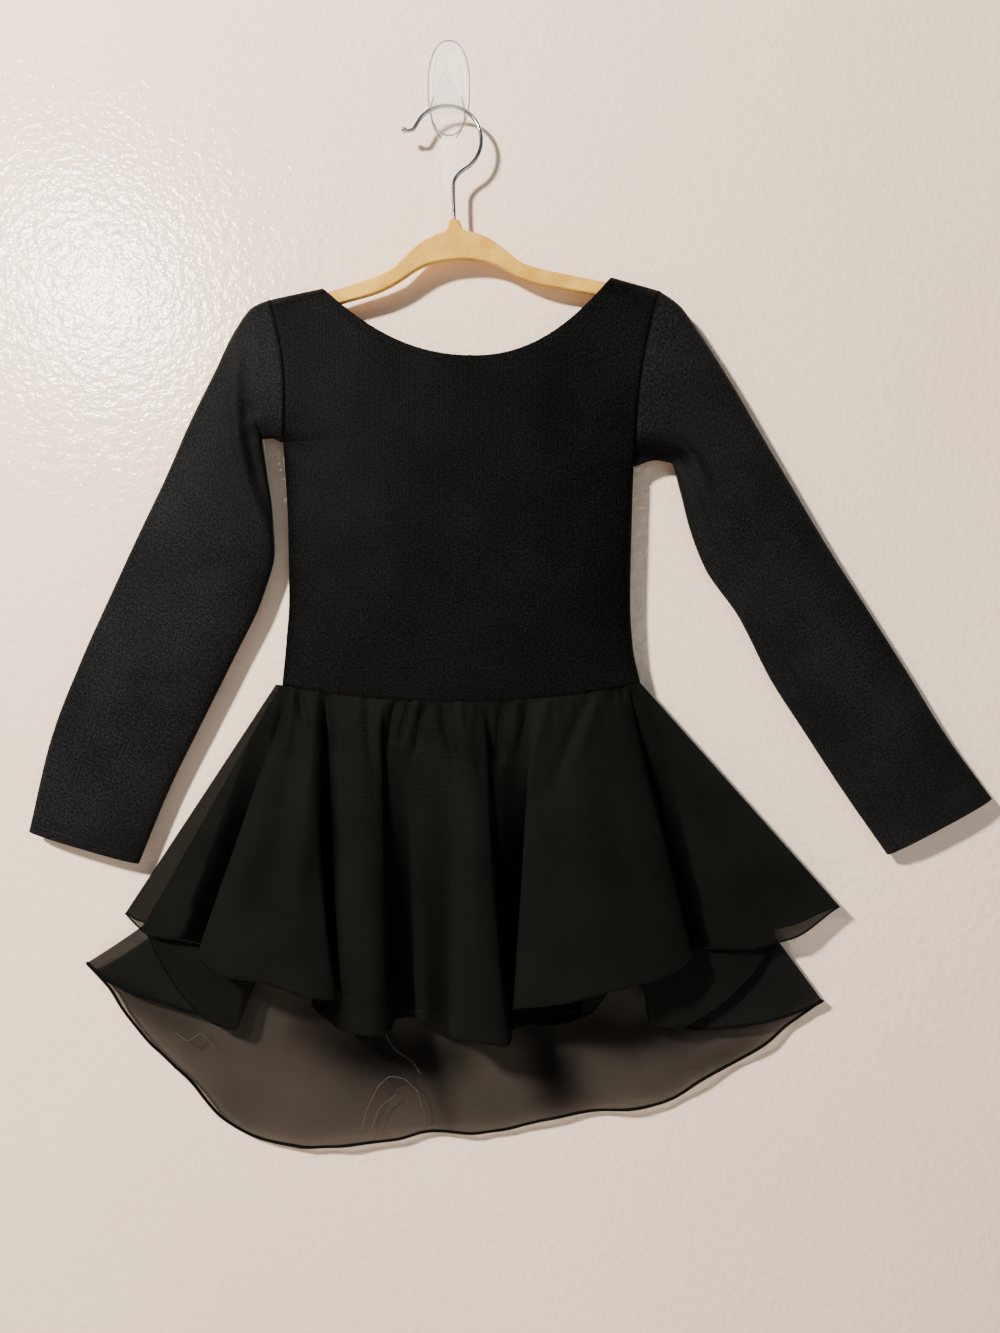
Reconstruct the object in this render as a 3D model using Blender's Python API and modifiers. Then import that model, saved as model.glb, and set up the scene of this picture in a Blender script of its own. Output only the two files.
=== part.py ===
"""A child's skirted leotard on a flocked hanger, hung from a clear hook stuck on a wall.

Frame: the wall is the plane y = 0 and the origin is the middle of the face stuck to it. +Z is up, +X is
the viewer's right and the garment stands off the wall towards -Y. Tables hold millimetres, and a depth is
a distance off the wall, so y = -depth.
"""
import math

import bmesh
import bpy
import numpy as np
from mathutils import Matrix, Vector

MM = 0.001

# Driving dimensions, in millimetres
JERSEY_WALL = 1.2
CHIFFON_WALL = 1.0
SEAM_GAP = 0.4
SEAM_TURN = 1.4            # a panel turns straight into its side and shoulder seams over this depth
ARMHOLE_GAP = 0.7          # between the bodice's and the sleeve's edges, which meet at a slant
ARMHOLE_TURN = 0.012       # the share of a row in which the bodice turns out to meet the sleeve
HANG_DEPTH = 13.0          # the hanger's middle plane, which is the garment's too

# Bodice: the middle line, the scoops and the shoulder corners, as (x, z)
BODICE_X = 9.0
BODICE_STEPS = [0, 0.18, 0.38, 0.58, 0.76, 0.88, 0.95, 0.985, 1.0]
ARMHOLE_SHARES = [(1 - math.cos(math.pi * i / 16)) / 2 for i in range(17)]
SCOOP_SHARE = ARMHOLE_SHARES[9]     # the armhole row that meets the bottom of the scoop
NECK_CURVE = 2.15
SCOOP_X = 20.0
FRONT_SCOOP_Z = -207.5
BACK_SCOOP_Z = -236.0
WAIST_MIDDLE_Z = -459.0
ARMPIT_LEVEL_Z = -278.0
LEFT = {
    "side": [(-447.0, -122.5), (-415.0, -119.5), (-386.0, -117.5), (-326.0, -118.5), (-269.0, -122.0)],
    "neck_end": (-93.0, -155.3),
    "tip": (-132.0, -163.3),
    "armhole_bow": 7.0,
}
RIGHT = {
    "side": [(-445.0, 142.0), (-423.0, 137.0), (-386.0, 134.8), (-326.0, 136.0), (-287.0, 137.2)],
    "neck_end": (121.0, -147.0),
    "tip": (156.0, -156.5),
    "armhole_bow": -5.0,
}
# Height, and how far the front and the back stand off the middle plane there
BODICE_DEPTHS = [
    (-460.0, 11.0, 10.2),
    (-420.0, 11.6, 9.9),
    (-350.0, 13.0, 9.6),
    (-290.0, 13.4, 9.5),
    (-240.0, 12.2, 9.0),
    (-207.0, 11.0, 8.6),
    (-175.0, 9.6, 8.0),
    (-150.0, 8.8, 7.6),
]
ARMHOLE_FRONT = 10.0
ARMHOLE_BACK = 8.5
SHOULDER_ROUND = 9.0
SHOULDER_CLOSE = 0.15      # the shoulder tip closes this much more, beside the sleeve
ROUND_ACROSS = 2.6         # exponents of the flattened oval that every section shares
ROUND_DEPTH = 2.2

# Sleeves: inner edge x, z, outer edge x, z, middle depth, front and back stand-off
SLEEVE_LEFT = [
    (-122.8, -268.9, -132.0, -163.3, 13.0, 10.0, 8.5),
    (-130.5, -265.5, -144.5, -169.0, 13.0, 10.0, 8.5),
    (-137.6, -266.0, -157.7, -186.4, 12.7, 9.6, 8.3),
    (-134.4, -290.5, -174.0, -219.1, 12.2, 9.2, 8.0),
    (-130.6, -320.2, -191.9, -254.8, 11.6, 8.8, 7.6),
    (-129.2, -348.4, -209.7, -294.9, 11.0, 8.4, 7.2),
    (-138.4, -383.4, -230.5, -338.0, 10.4, 7.8, 6.8),
    (-160.7, -430.2, -251.3, -382.6, 9.9, 7.4, 6.5),
    (-184.4, -477.7, -273.6, -431.7, 9.5, 7.0, 6.2),
    (-208.2, -526.0, -295.9, -489.6, 9.2, 6.6, 6.0),
    (-231.2, -581.8, -312.2, -558.0, 9.0, 6.4, 5.8),
]
SLEEVE_RIGHT = [
    (137.9, -286.7, 156.0, -156.5, 13.0, 10.0, 8.5),
    (152.9, -281.8, 170.8, -167.1, 13.0, 10.0, 8.5),
    (165.6, -283.8, 187.1, -189.4, 12.7, 9.6, 8.3),
    (172.3, -303.8, 208.7, -222.8, 12.2, 9.2, 8.0),
    (179.7, -332.1, 233.2, -264.5, 11.6, 8.8, 7.6),
    (191.6, -362.5, 254.0, -299.4, 11.0, 8.4, 7.2),
    (216.1, -397.5, 281.5, -345.5, 10.4, 7.8, 6.8),
    (240.6, -445.0, 312.0, -393.0, 9.9, 7.4, 6.5),
    (265.1, -482.9, 339.5, -436.1, 9.5, 7.0, 6.2),
    (294.9, -528.3, 370.7, -486.6, 9.2, 6.6, 6.0),
    (327.6, -575.1, 404.8, -533.5, 9.0, 6.4, 5.8),
]
SLEEVE_RINGS = [0, 0.5, 1, 1.7, 2.4, 3, 4, 5, 6, 7, 8.5, 10]
BOW_STATIONS = 2           # the armhole's bow is gone by this station of a sleeve

# Brief: height, half width, middle depth, front and back stand-off, how fully the edge closes
BRIEF_X = 7.0
BRIEF_SAG = 60.0           # the waist seam's sag is gone this far below it
BRIEF_DIVISIONS = (10, 13)
CROTCH_DEPTH = 11.0
BRIEF_ROWS = [
    (-461.4, 124.0, 13.0, 7.6, 6.9, 1.0),
    (-490.0, 123.5, 12.9, 7.2, 6.6, 1.0),
    (-517.0, 122.5, 12.7, 6.8, 6.2, 1.0),
    (-537.0, 108.0, 12.4, 6.6, 5.8, 0.9),
    (-562.0, 82.0, 12.0, 6.1, 4.9, 0.85),
    (-590.0, 58.0, 11.6, 5.3, 3.9, 0.8),
    (-618.0, 39.0, 11.2, 4.2, 3.0, 0.7),
    (-645.0, 29.0, 11.0, 2.8, 2.2, 0.6),
]

# Skirt: the middle and half width of the waist seam, and each layer's stand-off there
SKIRT_X = 7.0
SKIRT_HALF_WIDTH = 135.0
WAIST_SAG = [(-128.0, -448.6), (-90.0, -454.6), (-40.0, -459.0), (10.0, -460.4), (60.0, -458.6),
             (105.0, -453.6), (142.0, -446.4)]
LAYER_INSET = 3.2          # the under layer's waist is this much narrower on each side
HEM_DIVISIONS = 2
FRONT_SKIRT_ROWS = [0, 0.08, 0.2, 0.36, 0.53, 0.7, 0.86, 1.0]
BACK_SKIRT_ROWS = [0, 0.1, 0.24, 0.4, 0.56, 0.72, 0.87, 1.0]

# Hem rows of each sheet: where the row leaves the waist (x), then the hem's x, z and depth
OUTER_FRONT = [
    ("left tip", -127.6, -239.4, -617.9, 13.4),
    ("left wing", -125.0, -221.0, -633.0, 17.0),
    ("left wing", -122.0, -199.0, -635.0, 20.5),
    ("valley", -118.0, -156.0, -646.0, 22.5),
    ("fold 1 edge", -114.5, -180.6, -643.6, 33.0),
    ("fold 1", -110.0, -167.5, -652.8, 41.0),
    ("fold 1", -104.0, -133.1, -658.8, 46.0),
    ("fold 1", -98.0, -99.4, -668.1, 48.0, 1.6),
    ("fold 1 edge", -92.5, -77.1, -672.9, 42.0, 2.6),
    ("return", -89.8, -98.0, -680.0, 30.0, 1.6),
    ("return", -87.4, -90.0, -692.0, 25.5, 1.0),
    ("fold 2", -85.0, -73.0, -697.2, 39.0, 0.45),
    ("fold 2", -64.0, -53.0, -697.0, 43.0, 0.7),
    ("fold 2 edge", -49.5, -40.5, -696.0, 35.0),
    ("valley", -45.0, -38.5, -693.5, 25.0),
    ("valley", -32.0, -27.0, -692.7, 22.5),
    ("fold 3", -19.0, -15.0, -695.0, 28.0),
    ("fold 3", -2.0, 0.0, -697.0, 30.0),
    ("fold 4 edge", 5.0, 4.0, -701.5, 38.0),
    ("fold 4", 20.0, 24.3, -702.4, 45.0),
    ("fold 4 edge", 34.0, 44.9, -705.0, 40.0),
    ("valley", 40.0, 47.5, -699.3, 28.5),
    ("valley", 47.0, 77.0, -697.6, 22.5),
    ("return", 53.0, 99.0, -689.0, 26.0),
    ("return", 57.5, 76.0, -682.0, 33.5),
    ("fold 5 edge", 62.5, 47.8, -679.5, 41.0),
    ("fold 5", 74.0, 70.4, -675.5, 47.0),
    ("fold 5", 95.0, 109.0, -666.0, 49.5),
    ("fold 5", 114.0, 144.9, -658.1, 46.0),
    ("fold 5", 125.0, 167.3, -651.4, 40.0),
    ("fold 5 edge", 131.5, 177.4, -642.2, 32.5),
    ("valley", 134.5, 160.5, -641.7, 23.0),
    ("right wing", 136.8, 189.6, -641.8, 20.5),
    ("right wing", 138.6, 219.1, -642.5, 19.5),
    ("right wing", 140.2, 252.0, -636.5, 17.0),
    ("right tip", 141.6, 290.3, -612.7, 13.4),
]
OUTER_BACK = [
    ("left tip", -127.6, -239.4, -617.9, 11.8),
    ("left wing", -126.2, -233.0, -625.0, 5.6),
    ("left wing", -123.5, -218.0, -629.0, 3.0),
    ("left wing", -115.0, -192.0, -634.0, 2.2),
    ("back", -97.0, -154.0, -645.0, 2.0),
    ("back", -70.0, -108.0, -656.0, 2.8),
    ("back", -38.0, -58.0, -680.0, 2.0),
    ("back", -6.0, -7.0, -687.0, 3.0),
    ("back", 26.0, 44.0, -688.0, 2.0),
    ("back", 58.0, 90.0, -669.0, 3.0),
    ("back", 88.0, 136.0, -650.0, 2.0),
    ("back", 112.0, 178.0, -638.0, 2.2),
    ("right wing", 130.0, 221.0, -636.0, 2.4),
    ("right wing", 138.0, 258.0, -629.0, 3.4),
    ("right wing", 140.6, 279.0, -619.0, 6.0),
    ("right tip", 141.6, 290.3, -612.7, 11.8),
]
UNDER_FRONT = [
    ("left seam", -124.4, -226.0, -627.0, 12.5),
    ("left leaf", -122.4, -215.0, -651.0, 13.4),
    ("left leaf", -119.5, -200.0, -674.0, 15.0),
    ("left leaf", -115.5, -179.0, -695.0, 16.0),
    ("left leaf", -110.6, -159.0, -703.5, 16.0),
    ("valley", -105.6, -150.0, -686.0, 13.4),
    ("valley", -98.7, -139.0, -662.0, 13.0),
    ("front", -91.8, -124.0, -655.0, 16.0),
    ("front", -79.0, -104.0, -660.0, 18.4),
    ("front", -65.1, -84.0, -669.0, 17.4),
    ("front", -49.3, -59.0, -686.0, 16.0),
    ("front", -29.6, -33.0, -688.0, 17.8),
    ("front", -7.8, -6.0, -690.0, 16.0),
    ("front", 17.9, 22.0, -695.0, 18.0),
    ("front", 37.6, 46.0, -699.0, 17.0),
    ("front", 61.3, 73.0, -698.0, 18.4),
    ("front", 83.1, 102.0, -693.0, 17.0),
    ("valley", 99.9, 127.0, -670.0, 14.0),
    ("valley", 110.7, 144.0, -672.0, 13.4),
    ("right leaf", 119.6, 151.0, -701.0, 15.6),
    ("right leaf", 125.6, 168.0, -702.0, 16.4),
    ("right leaf", 130.0, 195.0, -689.0, 16.4),
    ("right leaf", 133.5, 216.0, -671.0, 15.4),
    ("right leaf", 136.4, 232.0, -654.0, 13.8),
    ("right seam", 138.4, 243.0, -632.0, 12.5),
]
UNDER_BACK = [
    ("left seam", -124.4, -226.0, -627.0, 10.8, 1.0),
    ("return", -123.6, -196.0, -668.0, 10.9, 1.0),
    ("return edge", -122.4, -161.0, -699.0, 10.8, 1.0),
    ("left wing", -120.4, -190.0, -692.5, 9.4, 1.1),
    ("left wing", -118.0, -222.0, -682.5, 9.0, 1.4),
    ("left wing", -115.0, -251.0, -671.0, 8.8, 1.8),
    ("left tip", -111.6, -270.5, -656.6, 7.6, 2.1),
    ("back", -107.6, -253.5, -675.5, 6.2, 1.9),
    ("back", -102.7, -243.5, -693.0, 5.4, 1.7),
    ("back", -95.7, -224.5, -715.5, 5.6, 1.4),
    ("back", -86.9, -190.0, -748.5, 6.6, 1.15),
    ("back", -79.0, -168.0, -775.0, 5.4, 1.0),
    ("back", -67.1, -140.0, -789.0, 4.6, 1.0),
    ("back", -53.3, -107.6, -795.0, 6.0, 1.0),
    ("back", -37.5, -73.6, -792.5, 8.4, 1.0),
    ("back", -21.7, -40.0, -789.0, 6.4, 1.0),
    ("back", -7.8, -14.0, -783.5, 4.6, 1.0),
    ("back", 6.0, 16.0, -784.4, 6.6, 1.0),
    ("back", 18.9, 42.0, -782.0, 5.0, 1.0),
    ("back", 32.7, 72.0, -774.0, 7.0, 1.0),
    ("back", 49.5, 106.0, -768.6, 5.0, 1.0),
    ("back", 67.3, 143.0, -765.2, 7.4, 1.0),
    ("back", 79.1, 167.5, -759.0, 5.4, 1.0),
    ("back", 90.0, 188.0, -744.5, 7.4, 1.0),
    ("back", 101.8, 215.0, -731.5, 5.4, 1.0),
    ("back", 111.7, 236.6, -717.0, 7.0, 1.0),
    ("back", 120.1, 256.0, -702.0, 5.4, 1.0),
    ("right tip", 125.6, 279.7, -684.8, 6.8, 1.15),
    ("right wing", 129.5, 257.0, -694.5, 8.2, 1.1),
    ("right wing", 132.5, 222.0, -702.5, 9.0, 1.0),
    ("right wing", 134.8, 189.0, -705.5, 9.6, 1.0),
    ("return edge", 136.6, 170.0, -700.0, 10.8, 1.0),
    ("return", 137.7, 206.0, -667.0, 11.0, 1.0),
    ("right seam", 138.4, 243.0, -632.0, 10.8, 1.0),
]

# Hanger, in its own upright frame about the foot of the neck: x, top z, bottom z of one arm
HANGER_FOOT = (5.0, -113.0)
HANGER_TILT = math.radians(3.0)
HANGER_THICK = 5.6
HANGER_EDGE = 1.6
HANGER_ARM = [
    (0.0, 8.4, -20.5),
    (3.4, 7.6, -20.6),
    (5.4, 3.0, -20.7),
    (8.0, 0.4, -20.9),
    (14.0, -1.2, -21.6),
    (22.0, -4.4, -23.6),
    (30.0, -9.6, -27.0),
    (40.0, -18.2, -33.0),
    (48.0, -25.0, -37.4),
    (62.0, -30.6, -42.8),
    (84.0, -36.6, -47.8),
    (110.0, -43.4, -54.0),
    (130.0, -49.0, -59.4),
    (135.0, -51.6, -59.4),
    (136.5, -55.0, -57.4),
]
WIRE_RADIUS = 1.5
HOOK_ARC_RADIUS = 25.4
HOOK_ARC_MIDDLE = (-0.8, -44.3)
HOOK_ARC_TURN = (-62, 152)  # degrees, from the stem over the top to the lip
HOOK_POINTS = 38
HOOK_STEM = [(4.6, -103.6), (4.2, -94.0), (3.9, -84.0), (3.9, -77.4), (5.2, -73.2)]
HOOK_LIP = [(-26.6, -37.0), (-30.6, -37.6), (-34.6, -35.6)]

# Wall hook: a long round-ended plate, a curled arm and the adhesive strip behind them
PLATE_HALF = (16.2, 36.0)
PLATE_ROUNDNESS = 2.6      # the exponent of its outline, which is 2 for an ellipse
PLATE_DEPTHS = (1.1, 3.6)
PLATE_EDGE = 0.7
ARM_REACH = 15.0           # half the width of the arm before it is cut to its outline
ARM_DIVISIONS = 16
TONGUE_DEPTHS = (2.0, 42.0)
STRIP_THICK = 0.8
STRIP_OUTLINE = [(-7.5, 30.0), (7.5, 30.0), (7.5, -32.0), (5.8, -38.0), (4.6, -60.0), (3.4, -78.0),
                 (-3.4, -78.0), (-4.6, -60.0), (-5.8, -38.0), (-7.5, -32.0)]
ARM_INNER = [(2.0, -12.0), (4.4, -13.6), (7.0, -21.0), (10.0, -24.2), (13.4, -25.0), (17.0, -23.2),
             (19.2, -17.0), (20.2, -9.0), (20.6, 0.0), (20.4, 5.0)]
ARM_OUTER = [(2.0, -39.4), (6.0, -39.4), (10.0, -37.0), (15.0, -32.0), (19.6, -26.0), (22.4, -18.6),
             (23.4, -9.0), (23.2, 0.0), (22.4, 5.0)]
ARM_HALF_WIDTHS = [(-40.6, 3.0), (-39.4, 6.4), (-36.6, 9.6), (-32.0, 12.2), (-26.0, 12.8), (-20.0, 11.4),
                   (-12.0, 8.6), (-4.0, 5.2), (2.0, 2.8), (6.0, 1.0)]


def smooth(keys, values, at):
    """A monotone cubic through rows (keys, values): it rounds every fold and never overshoots a row."""
    keys, values, at = (np.asarray(a, float) for a in (keys, values, at))
    gaps = np.diff(keys)
    slopes = np.diff(values) / gaps
    tangents = np.zeros(len(keys))
    tangents[0], tangents[-1] = slopes[0], slopes[-1]
    for i in range(1, len(keys) - 1):
        before, after = slopes[i - 1], slopes[i]
        if before * after > 0:
            w1, w2 = 2 * gaps[i] + gaps[i - 1], gaps[i] + 2 * gaps[i - 1]
            tangents[i] = (w1 + w2) / (w1 / before + w2 / after)
    k = np.clip(np.searchsorted(keys, at, side="right") - 1, 0, len(gaps) - 1)
    h = gaps[k]
    t = (at - keys[k]) / h
    return (values[k] * (2 * t**3 - 3 * t**2 + 1) + tangents[k] * h * (t**3 - 2 * t**2 + t)
            + values[k + 1] * (3 * t**2 - 2 * t**3) + tangents[k + 1] * h * (t**3 - t**2))


def column(table, index):
    return [row[index] for row in table]


def lengths_along(points):
    """How far each point of a line lies from its start."""
    return np.concatenate([[0], np.cumsum(np.linalg.norm(np.diff(points, axis=0), axis=1))])


def oval(share):
    """How full a flattened oval is at a share from -1 to 1 of its half width."""
    return (1 - min(abs(share), 1.0) ** ROUND_ACROSS) ** (1 / ROUND_DEPTH)


def place(x, depth, z):
    return Vector((x, -depth, z)) * MM


def make_material(name, colour, roughness, metallic=0.0, alpha=1.0):
    material = bpy.data.materials.new(name)
    material.use_nodes = True
    shader = material.node_tree.nodes["Principled BSDF"]
    shader.inputs["Base Color"].default_value = (*colour, 1)
    shader.inputs["Roughness"].default_value = roughness
    shader.inputs["Metallic"].default_value = metallic
    shader.inputs["Alpha"].default_value = alpha
    return material


def new_object(name, data, material, parent):
    piece = bpy.data.objects.new(name, data)
    data.materials.append(material)
    bpy.data.collections["skirted_leotard"].objects.link(piece)
    piece.parent = parent
    return piece


def sheet_object(name, grids, wall, material, parent, closed=False):
    """One cloth wall from grids of points. Grids that share points are joined along them."""
    bm = bmesh.new()
    for grid in grids:
        rows = [[bm.verts.new(point) for point in row] for row in grid]
        for lower, upper in zip(rows, rows[1:]):
            spans = len(lower) if closed else len(lower) - 1
            for i in range(spans):
                j = (i + 1) % len(lower)
                bm.faces.new((lower[i], lower[j], upper[j], upper[i]))
    bmesh.ops.remove_doubles(bm, verts=bm.verts, dist=1e-6)
    bmesh.ops.recalc_face_normals(bm, faces=bm.faces)
    mesh = bpy.data.meshes.new(name)
    bm.to_mesh(mesh)
    bm.free()
    mesh.shade_smooth()
    piece = new_object(name, mesh, material, parent)
    solidify = piece.modifiers.new("wall", "SOLIDIFY")
    solidify.thickness = wall * MM
    solidify.offset = 0
    return piece


def side_edge(half, z):
    heights = column(half["side"], 0)
    return float(smooth(heights, column(half["side"], 1), z))


def armhole_point(half, share):
    """A point (x, z) of the armhole seam, from the armpit at 0 to the shoulder tip at 1."""
    armpit_z, armpit_x = half["side"][-1]
    tip_x, tip_z = half["tip"]
    bow = half["armhole_bow"] * 4 * share * (1 - share)
    return armpit_x + (tip_x - armpit_x) * share + bow, armpit_z + (tip_z - armpit_z) * share


def armhole_depth(share, front):
    stand_off = ARMHOLE_FRONT if front else ARMHOLE_BACK
    return SEAM_GAP / 2 + stand_off * oval(2 * share - 1)


def bodice_rows(half, front):
    """The inner and outer end (x, z) of every row of half a bodice panel, with its share of the side
    seam or of the armhole."""
    scoop_z = FRONT_SCOOP_Z if front else BACK_SCOOP_Z
    waist_z, armpit_z = half["side"][0][0], half["side"][-1][0]
    neck_x, neck_z = half["neck_end"]
    rows = []
    for share in np.linspace(0, 1, 6)[:-1]:
        outer_z = waist_z + (armpit_z - waist_z) * share
        rows.append(((SCOOP_X, WAIST_MIDDLE_Z + (ARMPIT_LEVEL_Z - WAIST_MIDDLE_Z) * share),
                     (side_edge(half, outer_z), outer_z), share, 0.0))
    for along in ARMHOLE_SHARES:
        if along <= SCOOP_SHARE:
            middle_z = ARMPIT_LEVEL_Z + (scoop_z - ARMPIT_LEVEL_Z) * along / SCOOP_SHARE
            inner = (SCOOP_X, middle_z)
        else:
            swing = 1 - ((1 - along) / (1 - SCOOP_SHARE)) ** 1.5
            inner = (SCOOP_X + (neck_x - SCOOP_X) * swing,
                     scoop_z + (neck_z - scoop_z) * swing ** NECK_CURVE)
        rows.append((inner, armhole_point(half, along), 1.0, along))
    return rows


def bodice_depth(half, front, x, z, outer_x, edge):
    """How far a bodice panel stands off the middle plane at (x, z)."""
    stand_off = float(smooth(column(BODICE_DEPTHS, 0), column(BODICE_DEPTHS, 1 if front else 2), z))
    share = (x - BODICE_X) / (outer_x - BODICE_X)
    depth = math.hypot(stand_off * oval(share), edge * share ** 8)
    (neck_x, neck_z), (tip_x, tip_z) = half["neck_end"], half["tip"]
    shoulder_z = neck_z + (tip_z - neck_z) * np.clip((x - neck_x) / (tip_x - neck_x), 0, 1)
    drop = np.clip((shoulder_z - z) / SHOULDER_ROUND, 0, 1)
    return SEAM_GAP / 2 + (depth - SEAM_GAP / 2) * math.sqrt(1 - (1 - drop) ** 2)


def bodice_half(half, front):
    """Rows of points of half a bodice panel, from the waist to the shoulder, middle to outer edge. The
    last column and the last row turn straight into the seams, so both walls end square there."""
    side = 1 if front else -1
    grid = []
    for (inner_x, inner_z), (outer_x, outer_z), up, along in bodice_rows(half, front):
        edge = armhole_depth(along, front) if along > 0 else SEAM_GAP / 2
        line = []
        for step in BODICE_STEPS:
            x = inner_x + (outer_x - inner_x) * step
            z = inner_z + (outer_z - inner_z) * step
            z += (waist_height(x) + (inner_z - WAIST_MIDDLE_Z) - z) * (1 - up)
            line.append((x, bodice_depth(half, front, x, z, outer_x, edge), z))
        x, depth, z = line[-1]
        if along == 0:
            line[-1:] = [(x, depth + SEAM_TURN, z), (x, depth, z)]
        else:
            inset = outer_x + (inner_x - outer_x) * ARMHOLE_TURN
            line[-1:] = [(inset, bodice_depth(half, front, inset, z, outer_x, edge), z), (x, depth, z)]
        grid.append(line)
    last = grid[-1]
    turned = [(x, min(depth + SEAM_TURN, above), z) for (x, depth, z), (_, above, _) in zip(last, grid[-2])]
    tip_x, tip_depth, tip_z = last[-1]
    grid[-1:] = [turned[:-1] + [last[-1]], last[:-1] + [(tip_x, tip_depth - SHOULDER_CLOSE, tip_z)]]
    return [[place(x, HANG_DEPTH + side * depth, z) for x, depth, z in line] for line in grid]


def sleeve_rings(table, half, outward):
    """Closed rings of points from the armhole to the cuff, each a flattened oval."""
    stations = range(len(table))
    rings = []
    for at in SLEEVE_RINGS:
        inner_x, inner_z, outer_x, outer_z, middle, front, back = (
            float(smooth(stations, column(table, i), at)) for i in range(7))
        bow = half["armhole_bow"] * max(0.0, 1 - at / BOW_STATIONS)
        ring = []
        for shares, bulge in ((ARMHOLE_SHARES[:-1], front), (ARMHOLE_SHARES[:0:-1], -back)):
            for share in shares:
                x = inner_x + (outer_x - inner_x) * share + bow * 4 * share * (1 - share)
                z = inner_z + (outer_z - inner_z) * share
                ring.append(place(x + outward * ARMHOLE_GAP, middle + bulge * oval(2 * share - 1), z))
        rings.append(ring)
    return rings


def brief_panel(front):
    """Rows of points of half of the brief, from the waist seam down to the crotch seam. The side edges
    turn into the side seams, and the last row into the crotch seam; between them the legs are open."""
    side = 1 if front else -1
    heights = column(BRIEF_ROWS, 0)[::-1]
    grid = []
    for z in np.linspace(heights[-1], heights[0], BRIEF_DIVISIONS[0]):
        half_width, middle, fore, aft, closing = (
            float(smooth(heights, column(BRIEF_ROWS, i)[::-1], z)) for i in range(1, 6))
        fade = max(0.0, 1 - (heights[-1] - z) / BRIEF_SAG)
        edge = SEAM_GAP / 2 + SEAM_TURN
        line = []
        for turn in np.linspace(-math.pi / 2, math.pi / 2, BRIEF_DIVISIONS[1]):
            x = BRIEF_X + half_width * math.sin(turn)
            stand_off = edge + ((fore if front else aft) - edge) * oval(math.sin(turn) * closing)
            line.append([x, stand_off, z + (waist_height(x) - waist_height(BRIEF_X)) * fade])
        for x, stand_off, level in (line[0], line[-1]):
            seam = [x, max(stand_off - SEAM_TURN, SEAM_GAP / 2), level]
            line.insert(0 if x < BRIEF_X else len(line), seam)
        grid.append([[x, middle + side * stand_off, level] for x, stand_off, level in line])
    grid.append([[x, CROTCH_DEPTH + side * SEAM_GAP / 2, z] for x, _, z in grid[-1]])
    return [[place(*point) for point in line] for line in grid]


def waist_height(x):
    return float(smooth(column(WAIST_SAG, 0), column(WAIST_SAG, 1), np.clip(x, -128.0, 142.0)))


def skirt_sheet(table, stand_off, inset, rows, growth):
    """Rows of points of one skirt sheet, from the waist seam to the hem. stand_off is signed: a front
    sheet's is positive. A growth over zero takes up the hem's depth early on the way down, and one under
    zero late. A row may end with a flare, which is how late it spreads sideways."""
    hem = np.array([row[1:5] for row in table])
    flares = [row[5] if len(row) > 5 else 1.0 for row in table]
    keys = lengths_along(hem[:, 1:])
    at = np.concatenate([np.linspace(a, b, HEM_DIVISIONS, endpoint=False) for a, b in zip(keys, keys[1:])])
    at = np.append(at, keys[-1])
    waist_x, hem_x, hem_z, hem_depth = (smooth(keys, hem[:, i], at) for i in range(4))
    flare = smooth(keys, flares, at)
    half_width = SKIRT_HALF_WIDTH - inset
    edge = math.copysign(SEAM_GAP / 2, stand_off)
    grid = []
    for down in rows:
        grow = 1 - (1 - down) ** growth if growth > 0 else down ** -growth
        line = []
        for i, x in enumerate(waist_x):
            depth = HANG_DEPTH + edge + (stand_off - edge) * oval((x - SKIRT_X) / half_width)
            z = waist_height(x) - SEAM_GAP
            line.append(place(x + (hem_x[i] - x) * down ** flare[i], depth + (hem_depth[i] - depth) * grow,
                              z + (hem_z[i] - z) * down))
        grid.append(line)
    return grid


def outline_object(name, points, half_thick, edge, material, parent):
    """A flat outline in the x-z plane, filled and extruded, with rounded edges."""
    curve = bpy.data.curves.new(name, "CURVE")
    curve.dimensions = "2D"
    curve.fill_mode = "BOTH"
    curve.extrude = (half_thick - edge) * MM
    curve.bevel_depth = edge * MM
    curve.offset = -edge * MM
    curve.bevel_resolution = 1
    spline = curve.splines.new("POLY")
    spline.points.add(len(points) - 1)
    for point, (x, z) in zip(spline.points, points):
        point.co = (x * MM, z * MM, 0, 1)
    spline.use_cyclic_u = True
    piece = new_object(name, curve, material, parent)
    piece.rotation_euler = (math.pi / 2, 0, 0)
    return piece


def hanger_outline():
    """The hanger's outline, both arms, from points along one arm, tilted about the neck's foot."""
    reach = column(HANGER_ARM, 0)
    steps = np.concatenate([np.linspace(0, 62, 14, endpoint=False), np.linspace(62, 130, 5, endpoint=False),
                            [130, 133.5, 135.4, 136.5]])
    top = list(zip(steps, smooth(reach, column(HANGER_ARM, 1), steps)))
    bottom = list(zip(steps, smooth(reach, column(HANGER_ARM, 2), steps)))
    right = top + bottom[::-1]
    left = [(-x, z) for x, z in bottom[1:]] + [(-x, z) for x, z in top[:0:-1]]
    turned = []
    for x, z in right + left:
        turned.append((HANGER_FOOT[0] + x * math.cos(HANGER_TILT) - z * math.sin(HANGER_TILT),
                       HANGER_FOOT[1] + x * math.sin(HANGER_TILT) + z * math.cos(HANGER_TILT)))
    return turned


def hook_path():
    """The wire's line: up the stem, round the arc and out along the lip."""
    middle_x, middle_z = HOOK_ARC_MIDDLE
    arc = []
    for angle in np.radians(np.linspace(*HOOK_ARC_TURN, HOOK_POINTS)):
        arc.append((middle_x + HOOK_ARC_RADIUS * math.cos(angle),
                    middle_z + HOOK_ARC_RADIUS * math.sin(angle)))
    points = np.array(HOOK_STEM + arc + HOOK_LIP)
    keys = lengths_along(points)
    at = np.linspace(0, keys[-1], HOOK_POINTS)
    return list(zip(smooth(keys, points[:, 0], at), smooth(keys, points[:, 1], at)))


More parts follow.
